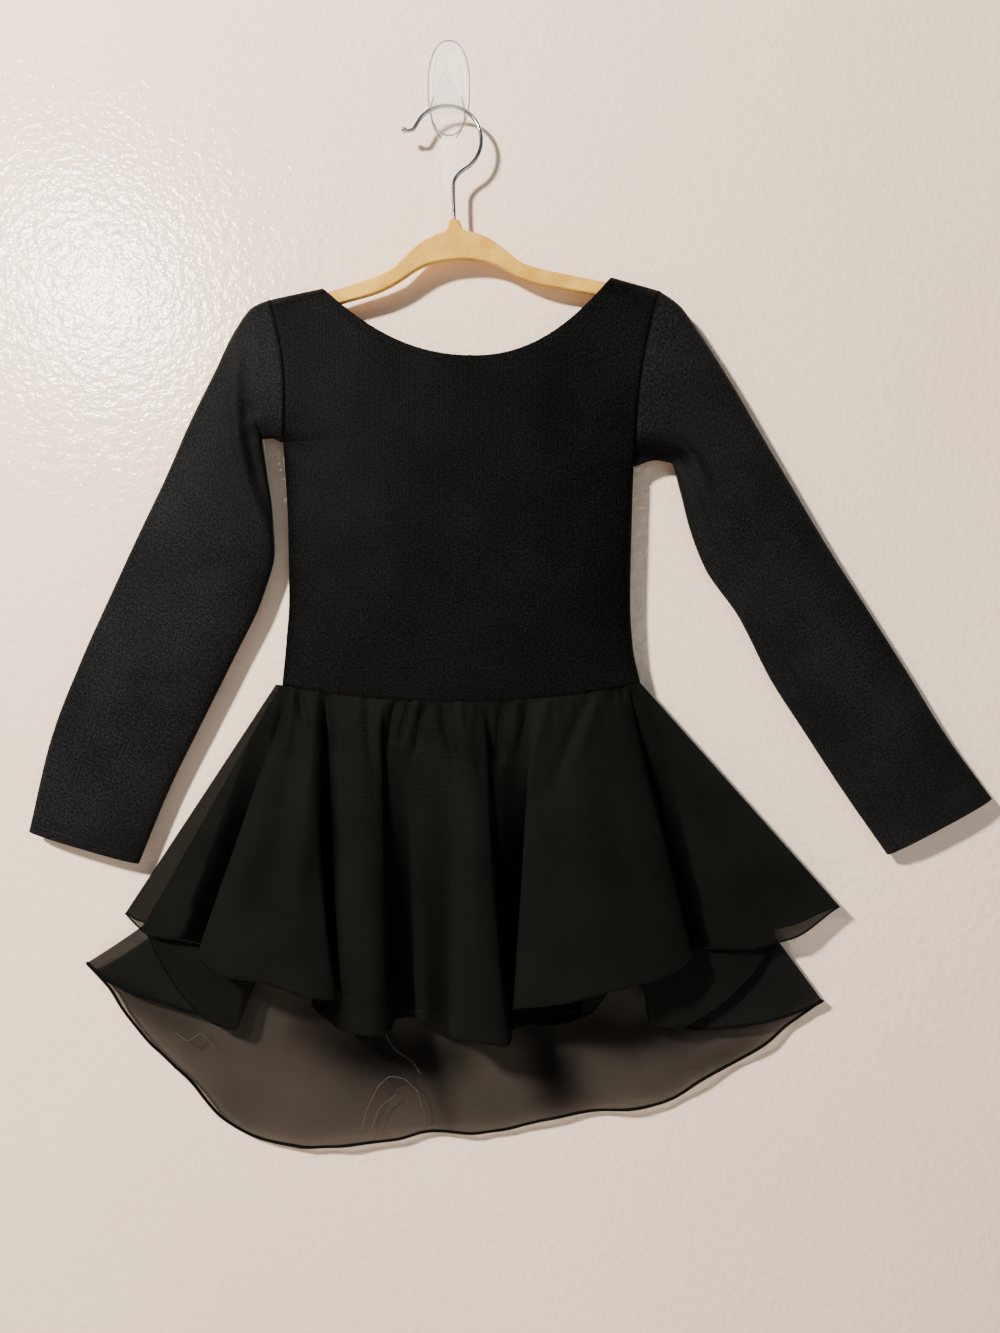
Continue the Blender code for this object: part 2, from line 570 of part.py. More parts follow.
def wire_object(name, path, radius, depth, material, parent):
    curve = bpy.data.curves.new(name, "CURVE")
    curve.dimensions = "3D"
    curve.bevel_depth = radius * MM
    curve.bevel_resolution = 2
    curve.use_fill_caps = True
    spline = curve.splines.new("POLY")
    spline.points.add(len(path) - 1)
    for point, (x, z) in zip(spline.points, path):
        point.co = (*place(x, depth, z), 1)
    return new_object(name, curve, material, parent)


def mesh_from_curve(piece):
    """Turns a curve object into a closed mesh object at the same place."""
    bpy.context.view_layer.update()
    evaluated = piece.evaluated_get(bpy.context.evaluated_depsgraph_get())
    mesh = bpy.data.meshes.new_from_object(evaluated)
    bm = bmesh.new()
    bm.from_mesh(mesh)
    bmesh.ops.remove_doubles(bm, verts=bm.verts, dist=1e-6)
    bmesh.ops.recalc_face_normals(bm, faces=bm.faces)
    bm.to_mesh(mesh)
    bm.free()
    name, matrix, parent = piece.name, piece.matrix_world.copy(), piece.parent
    bpy.data.objects.remove(piece)
    solid = bpy.data.objects.new(name, mesh)
    bpy.data.collections["skirted_leotard"].objects.link(solid)
    solid.parent = parent
    solid.matrix_world = matrix
    return solid


def arm_side():
    """The closed side outline (depth, z) of the wall hook's arm: its outer line, then its trough."""
    lines = []
    for table in (ARM_OUTER, ARM_INNER):
        points = np.array(table)
        keys = lengths_along(points)
        at = np.linspace(0, keys[-1], ARM_DIVISIONS)
        lines.append(list(zip(smooth(keys, points[:, 0], at), smooth(keys, points[:, 1], at))))
    return lines[0] + lines[1][::-1]


def plate_outline():
    """A long oval with fuller corners than an ellipse."""
    points = []
    for angle in np.linspace(0, 2 * math.pi, 48, endpoint=False):
        power = 2 / PLATE_ROUNDNESS
        points.append((PLATE_HALF[0] * math.copysign(abs(math.cos(angle)) ** power, math.cos(angle)),
                       PLATE_HALF[1] * math.copysign(abs(math.sin(angle)) ** power, math.sin(angle))))
    return points


def tongue_outline():
    """The arm as seen from the front: a round lobe below that narrows to the tongue's tip."""
    heights = column(ARM_HALF_WIDTHS, 0)
    levels = np.linspace(heights[0], heights[-1], ARM_DIVISIONS)
    right = list(zip(smooth(heights, column(ARM_HALF_WIDTHS, 1), levels), levels))
    return right + [(-x, z) for x, z in right[::-1]]


def make_wall_hook(material, parent):
    """The plate with its curled arm, which is cut to a tongue as seen from the front."""
    half_thick = (PLATE_DEPTHS[1] - PLATE_DEPTHS[0]) / 2
    plate = outline_object("wall_hook", plate_outline(), half_thick, PLATE_EDGE, material, parent)
    plate.location = place(0, sum(PLATE_DEPTHS) / 2, 0)
    plate = mesh_from_curve(plate)
    arm = outline_object("arm", arm_side(), ARM_REACH, 0.0, material, None)
    arm.matrix_world = Matrix(((0, 0, 1, 0), (-1, 0, 0, 0), (0, 1, 0, 0), (0, 0, 0, 1)))
    arm = mesh_from_curve(arm)
    half_reach = (TONGUE_DEPTHS[1] - TONGUE_DEPTHS[0]) / 2
    tongue = outline_object("tongue", tongue_outline(), half_reach, 0.0, material, None)
    tongue.location = place(0, sum(TONGUE_DEPTHS) / 2, 0)
    tongue = mesh_from_curve(tongue)
    for cutter in (arm, tongue):
        for owner in list(cutter.users_collection):
            owner.objects.unlink(cutter)
        bpy.data.collections["cutters"].objects.link(cutter)
        cutter.hide_render = True
        cutter.display_type = "WIRE"
    shape = arm.modifiers.new("tongue", "BOOLEAN")
    shape.operation = "INTERSECT"
    shape.object = tongue
    join = plate.modifiers.new("arm", "BOOLEAN")
    join.operation = "UNION"
    join.object = arm


def make_garment(parent):
    jersey = make_material("black_jersey", (0.012, 0.013, 0.014), 0.9)
    chiffon = make_material("black_chiffon", (0.018, 0.019, 0.018), 0.75)
    for name, front in (("bodice_front", True), ("bodice_back", False)):
        halves = [bodice_half(LEFT, front), bodice_half(RIGHT, front)]
        sheet_object(name, halves, JERSEY_WALL, jersey, parent)
    for name, table, half, outward in (("sleeve_left", SLEEVE_LEFT, LEFT, -1),
                                       ("sleeve_right", SLEEVE_RIGHT, RIGHT, 1)):
        sheet_object(name, [sleeve_rings(table, half, outward)], JERSEY_WALL, jersey, parent, closed=True)
    for name, front in (("brief_front", True), ("brief_back", False)):
        sheet_object(name, [brief_panel(front)], JERSEY_WALL, jersey, parent)
    for name, table, stand_off, inset, rows, growth in (
        ("skirt_outer_front", OUTER_FRONT, 11.0, 0.0, FRONT_SKIRT_ROWS, 1.8),
        ("skirt_under_front", UNDER_FRONT, 9.5, LAYER_INSET, FRONT_SKIRT_ROWS, -1.6),
        ("skirt_under_back", UNDER_BACK, -8.9, LAYER_INSET, BACK_SKIRT_ROWS, -1.5),
        ("skirt_outer_back", OUTER_BACK, -10.4, 0.0, BACK_SKIRT_ROWS, 1.3),
    ):
        grid = skirt_sheet(table, stand_off, inset, rows, growth)
        sheet_object(name, [grid], CHIFFON_WALL, chiffon, parent)


def make_hanger(parent):
    flock = make_material("beige_flock", (0.62, 0.46, 0.24), 0.95)
    steel = make_material("chrome_wire", (0.7, 0.7, 0.7), 0.15, metallic=1.0)
    clear = make_material("clear_plastic", (0.85, 0.87, 0.86), 0.1, alpha=0.35)
    body = outline_object("hanger_body", hanger_outline(), HANGER_THICK / 2, HANGER_EDGE, flock, parent)
    body.location = place(0, HANG_DEPTH, 0)
    wire_object("hanger_hook", hook_path(), WIRE_RADIUS, HANG_DEPTH, steel, parent)
    make_wall_hook(clear, parent)
    strip = outline_object("adhesive_strip", STRIP_OUTLINE, STRIP_THICK / 2, 0.0, clear, parent)
    strip.location = place(0, STRIP_THICK / 2, 0)


def main():
    for leftover in list(bpy.data.objects):
        bpy.data.objects.remove(leftover)
    for name in ("skirted_leotard", "cutters"):
        bpy.context.scene.collection.children.link(bpy.data.collections.new(name))
    root = bpy.data.objects.new("held_point", None)
    bpy.data.collections["skirted_leotard"].objects.link(root)
    make_garment(root)
    make_hanger(root)


main()
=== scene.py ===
"""The looks of the skirted leotard on its hanger and wall hook.

Frame: the CAD's own. The wall is y = 0, the garment stands off it towards -Y, +Z is up and +X is the
viewer's right. Tables hold millimetres, and a depth is a distance off the wall, so y = -depth.
"""
import math

import bmesh
import bpy
import numpy as np
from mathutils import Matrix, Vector


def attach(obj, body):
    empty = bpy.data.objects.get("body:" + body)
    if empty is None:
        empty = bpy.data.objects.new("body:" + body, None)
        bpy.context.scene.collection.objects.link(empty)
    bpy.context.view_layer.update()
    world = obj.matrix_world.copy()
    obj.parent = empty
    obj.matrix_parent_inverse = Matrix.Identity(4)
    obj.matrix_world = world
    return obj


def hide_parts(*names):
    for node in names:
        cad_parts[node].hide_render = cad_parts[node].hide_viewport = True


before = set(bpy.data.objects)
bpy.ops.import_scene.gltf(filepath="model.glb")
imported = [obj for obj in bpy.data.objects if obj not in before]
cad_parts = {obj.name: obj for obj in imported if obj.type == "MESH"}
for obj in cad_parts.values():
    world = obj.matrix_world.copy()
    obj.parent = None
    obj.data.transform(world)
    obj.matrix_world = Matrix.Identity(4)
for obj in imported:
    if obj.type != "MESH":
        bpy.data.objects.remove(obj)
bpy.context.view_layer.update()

MM = 0.001

# Camera: a phone held square to the wall
CAMERA_PLACE = (0.0385, -0.760, -0.435)
CAMERA_LENS_MM = 27.19
CAMERA_SENSOR_MM = 36.0

# Cloth
HANG_DEPTH = 13.0          # the hanger's middle plane, which is the garment's too
JERSEY_WALL = 0.8
ROUND_ACROSS = 2.6         # exponents of the flattened oval that every section shares
ROUND_DEPTH = 2.2

# Bodice: the middle line, the scoops and the shoulder corners, as (x, z)
BODICE_X = 9.0
SCOOP_X = 20.0
FRONT_SCOOP_Z = -207.5
BACK_SCOOP_Z = -236.0
WAIST_MIDDLE_Z = -459.0
ARMPIT_LEVEL_Z = -278.0
SCOOP_SHARE = 0.597        # how far up the armhole the row is that meets the bottom of the scoop
NECK_CURVE = 2.15
LEFT = {
    "side": [(-447.0, -122.5), (-415.0, -119.5), (-386.0, -117.5), (-326.0, -118.5), (-269.0, -122.0)],
    "neck_end": (-93.0, -155.3),
    "tip": (-132.0, -163.3),
    "armhole_bow": 7.0,
}
RIGHT = {
    "side": [(-445.0, 142.0), (-423.0, 137.0), (-386.0, 134.8), (-326.0, 136.0), (-287.0, 137.2)],
    "neck_end": (121.0, -147.0),
    "tip": (156.0, -156.5),
    "armhole_bow": -5.0,
}
# Height, and how far the front and the back stand off the middle plane there
BODICE_DEPTHS = [
    (-460.0, 11.0, 10.2), (-420.0, 11.6, 9.9), (-350.0, 13.0, 9.6), (-290.0, 13.4, 9.5),
    (-240.0, 12.2, 9.0), (-207.0, 11.0, 8.6), (-175.0, 9.6, 8.0), (-150.0, 8.8, 7.6),
]
ARMHOLE_FRONT = 10.0       # how far the armhole's edge stands off at its middle
ARMHOLE_BACK = 8.5
SHOULDER_ROUND = 9.0
ARMHOLE_EASE = 1.8         # exponent: how early across the panel the armhole's depth is felt
BODICE_ACROSS = 70         # points from the middle to the side
ROWS_BELOW_ARMPIT = 64
ROWS_ABOVE_ARMPIT = 84

# Sleeves at 11 stations from the armhole to the cuff: inner edge x, z, outer edge x, z
SLEEVE_LEFT = [
    (-122.8, -268.9, -132.0, -163.3), (-130.5, -265.5, -144.5, -169.0), (-137.6, -266.0, -157.7, -186.4),
    (-134.4, -290.5, -174.0, -219.1), (-130.6, -320.2, -191.9, -254.8), (-129.2, -348.4, -209.7, -294.9),
    (-138.4, -383.4, -230.5, -338.0), (-160.7, -430.2, -251.3, -382.6), (-184.4, -477.7, -273.6, -431.7),
    (-208.2, -526.0, -295.9, -489.6), (-231.2, -581.8, -312.2, -558.0),
]
SLEEVE_RIGHT = [
    (137.9, -286.7, 156.0, -156.5), (152.9, -281.8, 170.8, -167.1), (165.6, -283.8, 187.1, -189.4),
    (172.3, -303.8, 208.7, -222.8), (179.7, -332.1, 233.2, -264.5), (191.6, -362.5, 254.0, -299.4),
    (216.1, -397.5, 281.5, -345.5), (240.6, -445.0, 312.0, -393.0), (265.1, -482.9, 339.5, -436.1),
    (294.9, -528.3, 370.7, -486.6), (327.6, -575.1, 404.8, -533.5),
]
SLEEVE_STATIONS = [(0, 40), (2, 130), (9.6, 21), (10, 0)]      # and how many rows from there on
SLEEVE_ACROSS = 50
SLEEVE_HALF_GIRTH = 0.09   # metres, for the knit's size round the sleeve
# Middle depth, front and back stand-off of both sleeves at each station
SLEEVE_DEPTHS = [
    (13.0, 10.0, 8.5), (13.0, 10.0, 8.5), (12.7, 9.6, 8.3), (12.2, 9.2, 8.0), (11.6, 8.8, 7.6),
    (11.0, 8.4, 7.2), (10.4, 7.8, 6.8), (9.9, 7.4, 6.5), (9.5, 7.0, 6.2), (9.2, 6.6, 6.0),
    (9.0, 6.4, 5.8),
]

# Brief: height, half width, middle depth, front and back stand-off, how fully the edge closes
BRIEF_X = 7.0
BRIEF_ROWS = [
    (-461.4, 124.0, 13.0, 7.6, 6.9, 1.0), (-490.0, 123.5, 12.9, 7.2, 6.6, 1.0),
    (-517.0, 122.5, 12.7, 6.8, 6.2, 1.0), (-537.0, 108.0, 12.4, 6.6, 5.8, 0.9),
    (-562.0, 82.0, 12.0, 6.1, 4.9, 0.85), (-590.0, 58.0, 11.6, 5.3, 3.9, 0.8),
    (-618.0, 39.0, 11.2, 4.2, 3.0, 0.7), (-645.0, 29.0, 11.0, 2.8, 2.2, 0.6),
]

# Skirt: the middle and half width of the waist seam, and how the seam sags, as (x, z)
SKIRT_X = 7.0
SKIRT_HALF_WIDTH = 135.0
WAIST_SAG = [(-128.0, -448.6), (-90.0, -454.6), (-40.0, -459.0), (10.0, -460.4), (60.0, -458.6),
             (105.0, -453.6), (142.0, -446.4)]
SKIRT_LENGTH = 210.0       # nominal, for how gathers and waves fade
GATHER_PITCH = 9.5
SKIRT_STEPS = [(0, 30), (0.2, 69), (1, 0)]      # share of the way down, and how many rows from there on
LAYER_INSET = 3.2          # the under layer's waist is this much narrower on each side

# Rows of each sheet: where the row leaves the waist (x), the hem's x, z and depth there, and for some rows how
# the row bends on its way down (1 where nothing stands)
OUTER_FRONT = [
    (-127.6, -239.4, -617.9, 13.4),  # left tip
    (-125.0, -221.0, -633.0, 17.0), (-122.0, -199.0, -635.0, 20.5),  # left wing
    (-118.0, -156.0, -646.0, 22.5),  # valley
    (-114.5, -180.6, -643.6, 33.0), (-110.0, -167.5, -652.8, 41.0), (-104.0, -133.1, -658.8, 46.0),  # fold 1
    (-98.0, -99.4, -668.1, 48.0, 1.6), (-92.5, -77.1, -672.9, 42.0, 2.6),
    (-89.8, -98.0, -680.0, 30.0, 1.6), (-87.4, -90.0, -692.0, 21.5, 1.0),  # return
    (-85.0, -73.0, -697.2, 39.0, 0.45), (-64.0, -53.0, -697.0, 43.0, 0.7),  # fold 2
    (-49.5, -40.5, -696.0, 35.0),
    (-46.0, -39.0, -693.5, 23.0), (-34.0, -28.0, -692.7, 20.8),  # valley
    (-21.0, -17.0, -695.0, 23.0), (-5.0, -1.0, -697.0, 31.0),  # fold 3
    (4.0, 5.0, -701.5, 38.5), (16.0, 24.3, -702.4, 45.0, 1.2), (26.5, 44.9, -705.0, 40.0, 1.5),  # fold 4
    (32.0, 47.5, -699.3, 27.0, 1.3), (43.0, 77.0, -697.6, 21.5),  # valley
    (53.0, 99.0, -689.0, 26.0), (57.5, 76.0, -682.0, 33.5),  # return
    (62.5, 47.8, -679.5, 41.0), (74.0, 70.4, -675.5, 47.0), (95.0, 109.0, -666.0, 49.5),  # fold 5
    (114.0, 144.9, -658.1, 46.0), (125.0, 167.3, -651.4, 40.0), (131.5, 177.4, -642.2, 32.5),
    (134.5, 160.5, -641.7, 23.0),  # valley
    (136.8, 189.6, -641.8, 20.5), (138.6, 219.1, -642.5, 19.5), (140.2, 252.0, -636.5, 17.0),  # right wing
    (141.6, 290.3, -612.7, 13.4),  # right tip
]
OUTER_BACK = [
    (-127.6, -239.4, -617.9, 11.8),  # left tip
    (-126.2, -233.0, -625.0, 5.6), (-123.5, -218.0, -629.0, 3.0), (-115.0, -192.0, -634.0, 2.2),  # left wing
    (-97.0, -154.0, -645.0, 2.0), (-70.0, -108.0, -656.0, 2.8), (-38.0, -58.0, -680.0, 2.0),  # back
    (-6.0, -7.0, -687.0, 3.0), (26.0, 44.0, -688.0, 2.0), (58.0, 90.0, -669.0, 3.0),
    (88.0, 136.0, -650.0, 2.0), (112.0, 178.0, -638.0, 2.2),
    (130.0, 221.0, -636.0, 2.4), (138.0, 258.0, -629.0, 3.4), (140.6, 279.0, -619.0, 6.0),  # right wing
    (141.6, 290.3, -612.7, 11.8),  # right tip
]
UNDER_FRONT = [
    (-124.4, -226.0, -627.0, 12.5),  # left seam
    (-122.4, -215.0, -651.0, 13.4), (-119.5, -200.0, -674.0, 15.0), (-115.5, -179.0, -695.0, 16.0),  # left leaf
    (-110.6, -159.0, -703.5, 16.0),
    (-105.6, -150.0, -686.0, 13.4), (-98.7, -139.0, -662.0, 13.0),  # valley
    (-91.8, -124.0, -655.0, 16.0), (-79.0, -104.0, -660.0, 18.4), (-65.1, -84.0, -669.0, 17.4),  # front
    (-49.3, -59.0, -686.0, 16.0), (-29.6, -33.0, -688.0, 17.8), (-7.8, -6.0, -690.0, 16.0),
    (17.9, 22.0, -695.0, 18.0), (37.6, 46.0, -699.0, 17.0), (61.3, 73.0, -698.0, 18.4),
    (83.1, 102.0, -693.0, 17.0),
    (99.9, 127.0, -670.0, 14.0), (110.7, 144.0, -672.0, 13.4),  # valley
    (119.6, 151.0, -701.0, 15.6), (125.6, 168.0, -702.0, 16.4), (130.0, 195.0, -689.0, 16.4),  # right leaf
    (133.5, 216.0, -671.0, 15.4), (136.4, 232.0, -654.0, 13.8),
    (138.4, 243.0, -632.0, 12.5),  # right seam
]
UNDER_BACK = [
    (-124.4, -226.0, -627.0, 10.8, 1.0),  # left seam
    (-123.6, -196.0, -668.0, 10.9, 1.0), (-122.4, -161.0, -699.0, 10.8, 1.0),  # return
    (-120.4, -190.0, -692.5, 9.4, 1.1), (-118.0, -222.0, -682.5, 9.0, 1.4),  # left wing
    (-115.0, -251.0, -671.0, 8.8, 1.8),
    (-111.6, -270.5, -656.6, 7.6, 2.1),  # left tip
    (-107.6, -253.5, -675.5, 6.2, 1.9), (-102.7, -243.5, -693.0, 5.4, 1.7),  # back
    (-95.7, -224.5, -715.5, 5.6, 1.4), (-86.9, -190.0, -748.5, 6.6, 1.15),
    (-79.0, -168.0, -775.0, 5.4, 1.0), (-67.1, -140.0, -789.0, 4.6, 1.0),
    (-53.3, -107.6, -795.0, 6.0, 1.0), (-37.5, -73.6, -792.5, 8.4, 1.0),
    (-21.7, -40.0, -789.0, 6.4, 1.0), (-7.8, -14.0, -783.5, 4.6, 1.0), (6.0, 16.0, -784.4, 6.6, 1.0),
    (18.9, 42.0, -782.0, 5.0, 1.0), (32.7, 72.0, -774.0, 7.0, 1.0), (49.5, 106.0, -768.6, 5.0, 1.0),
    (67.3, 143.0, -765.2, 7.4, 1.0), (79.1, 167.5, -759.0, 5.4, 1.0), (90.0, 188.0, -744.5, 7.4, 1.0),
    (101.8, 215.0, -731.5, 5.4, 1.0), (111.7, 236.6, -717.0, 7.0, 1.0),
    (120.1, 256.0, -702.0, 5.4, 1.0),
    (125.6, 279.7, -684.8, 6.8, 1.15),  # right tip
    (129.5, 257.0, -694.5, 8.2, 1.1), (132.5, 222.0, -702.5, 9.0, 1.0),  # right wing
    (134.8, 189.0, -705.5, 9.6, 1.0),
    (136.6, 170.0, -700.0, 10.8, 1.0), (137.7, 206.0, -667.0, 11.0, 1.0),  # return
    (138.4, 243.0, -632.0, 10.8, 1.0),  # right seam
]

# Hanger, in its own upright frame about the foot of the neck: x, top z, bottom z of one arm
HANGER_FOOT = (5.0, -113.0)
HANGER_TILT = math.radians(3.0)
HANGER_THICK = 5.6
HANGER_EDGE = 1.6
HANGER_ARM = [
    (0.0, 9.2, -20.5), (2.6, 9.1, -20.6), (4.2, 7.8, -20.7), (4.9, 4.6, -20.7),
    (6.2, 1.8, -20.8), (8.6, 0.2, -20.9), (14.0, -1.2, -21.6), (22.0, -4.4, -23.6),
    (30.0, -9.6, -27.0), (40.0, -18.2, -33.0), (48.0, -25.0, -37.4), (62.0, -30.6, -42.8),
    (84.0, -36.6, -47.8), (110.0, -43.4, -54.0), (130.0, -49.0, -59.4), (135.0, -51.6, -59.4),
    (136.5, -55.0, -57.4),
]
HANGER_STEPS = [(0, 60), (62, 24), (130, 11), (136.5, 0)]
WIRE_RADIUS = 1.5
# The wire's round end, by how far it is from the tip
BALL_RADIUS = 2.25
BALL_MIDDLE = 2.2
BALL_HALF = 2.3
BALL_NECK = 3.9
HOOK_ARC_RADIUS = 25.4
HOOK_ARC_MIDDLE = (-0.8, -44.3)
HOOK_STEM = [(4.6, -103.6), (4.2, -94.0), (3.9, -84.0), (3.9, -77.4), (5.2, -73.2)]
HOOK_LIP = [(-26.6, -37.0), (-30.6, -37.6), (-34.6, -35.6)]

# Painted lines on the rims of the clear wall hook, dark painted refraction lines and pale painted highlights:
# half width and half height, depth, span in degrees, radius, look
RIM_ROUNDNESS = 2.3
PLATE_RIMS = [
    ("plate_rim", (15.6, 35.6), 3.0, (-200, 160), 0.55, "painted_dark_line"),
    ("plate_inner_rim", (12.7, 32.4), 3.6, (-8, 188), 0.5, "painted_highlight"),
]
# Height of the arm's edge, half its width there and its depth
ARM_EDGE = [
    (-39.4, 5.6, 7.0), (-36.6, 9.2, 11.0), (-32.0, 11.8, 15.2), (-26.0, 12.4, 19.6), (-20.0, 11.0, 22.2),
    (-12.0, 8.2, 23.4), (-4.0, 4.8, 23.6), (2.0, 2.4, 23.2), (5.4, 0.7, 22.6),
]
# Painted lines on its rims: span of heights, radius, look
TONGUE_RIMS = [
    ("lobe_rim", (-39.4, -17.0), 0.5, "painted_dark_line"),
    ("tongue_rim", (-20.0, 5.4), 0.42, "painted_highlight"),
]

# Creases pressed or pulled into the jersey: line of (x, z), half width, height (troughs are below 0)
BODICE_CREASES = [
    ([(-124, -268), (-114, -275), (-100, -282)], 4.5, -1.3),
    ([(-122, -258), (-108, -264), (-94, -268)], 5.5, 0.7),
    ([(-120, -284), (-104, -292), (-86, -297)], 6.0, 0.5),
    ([(138, -287), (124, -290), (106, -292)], 5.5, -0.8),
    ([(136, -268), (120, -263), (104, -258)], 7.0, 0.5),
    ([(-118, -436), (-96, -431), (-72, -434)], 8.0, -0.25),
    ([(134, -430), (112, -425), (88, -430)], 8.0, -0.25),
    ([(-60, -300), (-44, -350), (-38, -410)], 14.0, 0.5),
    ([(84, -290), (72, -340), (70, -400)], 14.0, 0.4),
    ([(-84, -172), (-64, -192), (-38, -206)], 7.0, 0.5),
    ([(112, -166), (92, -188), (68, -205)], 7.0, 0.5),
]
# Tucks of the outer front skirt below the waist seam, in the same form
TUCKS = [
    ([(-123, -449), (-122, -468), (-128, -494)], 3.4, -2.0),
    ([(-114, -448), (-115, -470), (-118, -500)], 4.2, 1.8),
    ([(-109, -450), (-107, -464), (-102, -484)], 3.1, -2.0),
    ([(-100, -450), (-99, -474), (-97, -520)], 5.2, 1.2),
    ([(-90, -452), (-88, -470), (-84, -500)], 4.4, -3.0),
    ([(-59, -458), (-57, -487), (-51, -512)], 3.4, -1.4),
    ([(-46, -457), (-50, -480), (-49, -510)], 4.2, 1.8),
    ([(-36, -459), (-40, -474), (-43, -492)], 3.4, -3.3),
    ([(-27, -460), (-31, -474), (-36, -492)], 2.9, -2.7),
    ([(-21, -459), (-25, -474)], 2.6, 1.4),
    ([(-14, -460), (-19, -476), (-24, -500)], 3.4, -2.7),
    ([(-5, -460), (-1, -482), (7, -508)], 3.4, -2.4),
    ([(9, -460), (13, -484), (17, -520)], 4.7, 1.7),
    ([(27, -461), (31, -482), (36, -508)], 3.1, -2.0),
    ([(42, -460), (39, -480), (38, -505)], 4.2, -3.3),
    ([(52, -460), (48, -476)], 2.6, 1.2),
    ([(60, -460), (57, -478), (52, -500)], 3.6, -3.0),
    ([(73, -458), (66, -486), (58, -530)], 5.2, 1.7),
    ([(106, -454), (95, -475), (82, -505), (76, -524)], 4.7, -2.1),
    ([(114, -452), (106, -470), (96, -500)], 4.7, 1.4),
    ([(121, -448), (124, -461)], 2.9, -1.8),
    ([(127, -448), (130, -462)], 2.9, -1.7),
    ([(-126, -484), (-139, -540), (-150, -604)], 9.0, 2.4),
    ([(-112, -492), (-120, -552), (-134, -622)], 7.0, -2.0),
    ([(-100, -500), (-102, -560), (-112, -640)], 8.0, 2.2),
    ([(-95, -560), (-93, -610), (-92, -655)], 6.0, -1.4),
    ([(88, -530), (100, -585), (104, -645)], 12.0, 1.6),
    ([(112, -500), (124, -560), (138, -620)], 10.0, -1.2),
    ([(-140, -500), (-168, -556), (-190, -604)], 9.0, 1.3),
    ([(156, -500), (190, -560), (226, -610)], 11.0, 1.2),
    ([(134, -452), (140, -478), (148, -505), (160, -550)], 3.9, -2.2),
]
# Creases of the long sheer sheet: an arch in the middle, a tangle at the left and soft runs from the folds
SHEER_CREASES = [
    ([(-66, -784), (-60, -762), (-49, -742), (-36, -741), (-22, -752), (-17, -783)], 2.0, 2.6),
    ([(-52, -780), (-46, -758), (-36, -748)], 2.4, -1.6),
    ([(-104, -700), (-82, -718), (-54, -734), (-26, -738)], 3.0, 1.8),
    ([(-206, -708), (-192, -716), (-182, -706), (-172, -718)], 2.6, 2.4),
    ([(-198, -722), (-186, -724), (-176, -732)], 3.0, -1.8),
    ([(-140, -700), (-148, -736), (-136, -780)], 7.0, 1.4),
    ([(-10, -710), (0, -744), (4, -778)], 8.0, 1.6),
    ([(62, -704), (70, -736), (74, -768)], 7.0, -1.4),
    ([(128, -712), (136, -734), (150, -756)], 7.0, 1.3),
]
# Painted shadows where the folds in front keep the light off it, in the same form, with the darkness in place
# of the height
SHEER_SHADES = [
    ([(-122, -702), (-84, -714), (-52, -725), (-20, -729), (16, -720)], 21.0, 1.0),
    ([(-24, -714), (-10, -742), (2, -786)], 8.0, 0.4),
    ([(56, -684), (70, -714), (78, -742), (86, -776)], 20.0, 1.0),
    ([(88, -704), (132, -712), (184, -704)], 14.0, 0.9),
    ([(-266, -662), (-226, -690), (-186, -712)], 11.0, 0.45),
    ([(176, -742), (212, -726), (240, -712)], 9.0, 0.35),
]
# Painted highlights: fine pale lines on it where a crease is sharp
GLINTS = [
    [(-65, -783), (-61, -766), (-52, -748), (-44, -741), (-33, -743), (-23, -752), (-18, -770), (-17, -782)],
    [(-58, -782), (-52, -766), (-40, -756)],
    [(-50, -706), (-40, -722), (-27, -731), (-21, -741)],
    [(-204, -709), (-194, -715), (-186, -709), (-178, -714), (-173, -722)],
]
GLINT_RADIUS = 0.28
SLEEVE_LEFT_CREASES = [
    ([(-153, -196), (-155, -232), (-153, -268), (-146, -300), (-134, -330), (-127, -352)], 4.5, 2.4),
    ([(-148, -240), (-146, -270), (-139, -300), (-131, -326)], 5.0, -2.2),
    ([(-150, -258), (-137, -254), (-124, -272)], 4.0, 1.5),
    ([(-146, -268), (-134, -264), (-124, -280)], 4.0, -1.8),
    ([(-136, -352), (-160, -362), (-186, -360)], 9.0, -0.6),
    ([(-148, -392), (-172, -398), (-198, -392)], 9.0, -0.4),
    ([(-150, -376), (-174, -381), (-198, -376)], 8.0, 0.4),
    ([(-238, -350), (-226, -400), (-232, -452), (-250, -500)], 13.0, 0.7),
    ([(-176, -440), (-206, -452), (-240, -440)], 9.0, -0.7),
    ([(-202, -500), (-236, -508), (-268, -494)], 8.0, -0.5),
    ([(-160, -200), (-172, -232), (-180, -262)], 9.0, -0.6),
]
SLEEVE_RIGHT_CREASES = [
    ([(132, -280), (152, -278), (172, -285)], 7.5, -11.0),
    ([(136, -262), (150, -263), (168, -269), (182, -284), (192, -306)], 4.5, 3.4),
    ([(186, -316), (204, -324), (224, -320)], 9.0, -0.7),
    ([(192, -344), (212, -353), (234, -346)], 8.0, 0.4),
    ([(206, -372), (228, -380), (252, -370)], 9.0, -0.5),
    ([(236, -424), (258, -430), (282, -418)], 9.0, -0.4),
    ([(280, -488), (306, -486), (334, -468)], 8.0, -0.6),
    ([(252, -330), (268, -372), (292, -410), (316, -442)], 12.0, 0.6),
    ([(172, -180), (186, -206), (196, -236)], 9.0, -0.6),
]
# Painted shade where the cloth is pinched in the armpits, in the same form, with the darkness in place of the
# height
ARMPIT_PAINTED_SHADE = {
    "sleeve_left": [([(-122, -264), (-133, -268), (-144, -273)], 2.6, 0.6)],
    "sleeve_right": [([(126, -275), (150, -276), (180, -279)], 8.5, 1.1)],
}
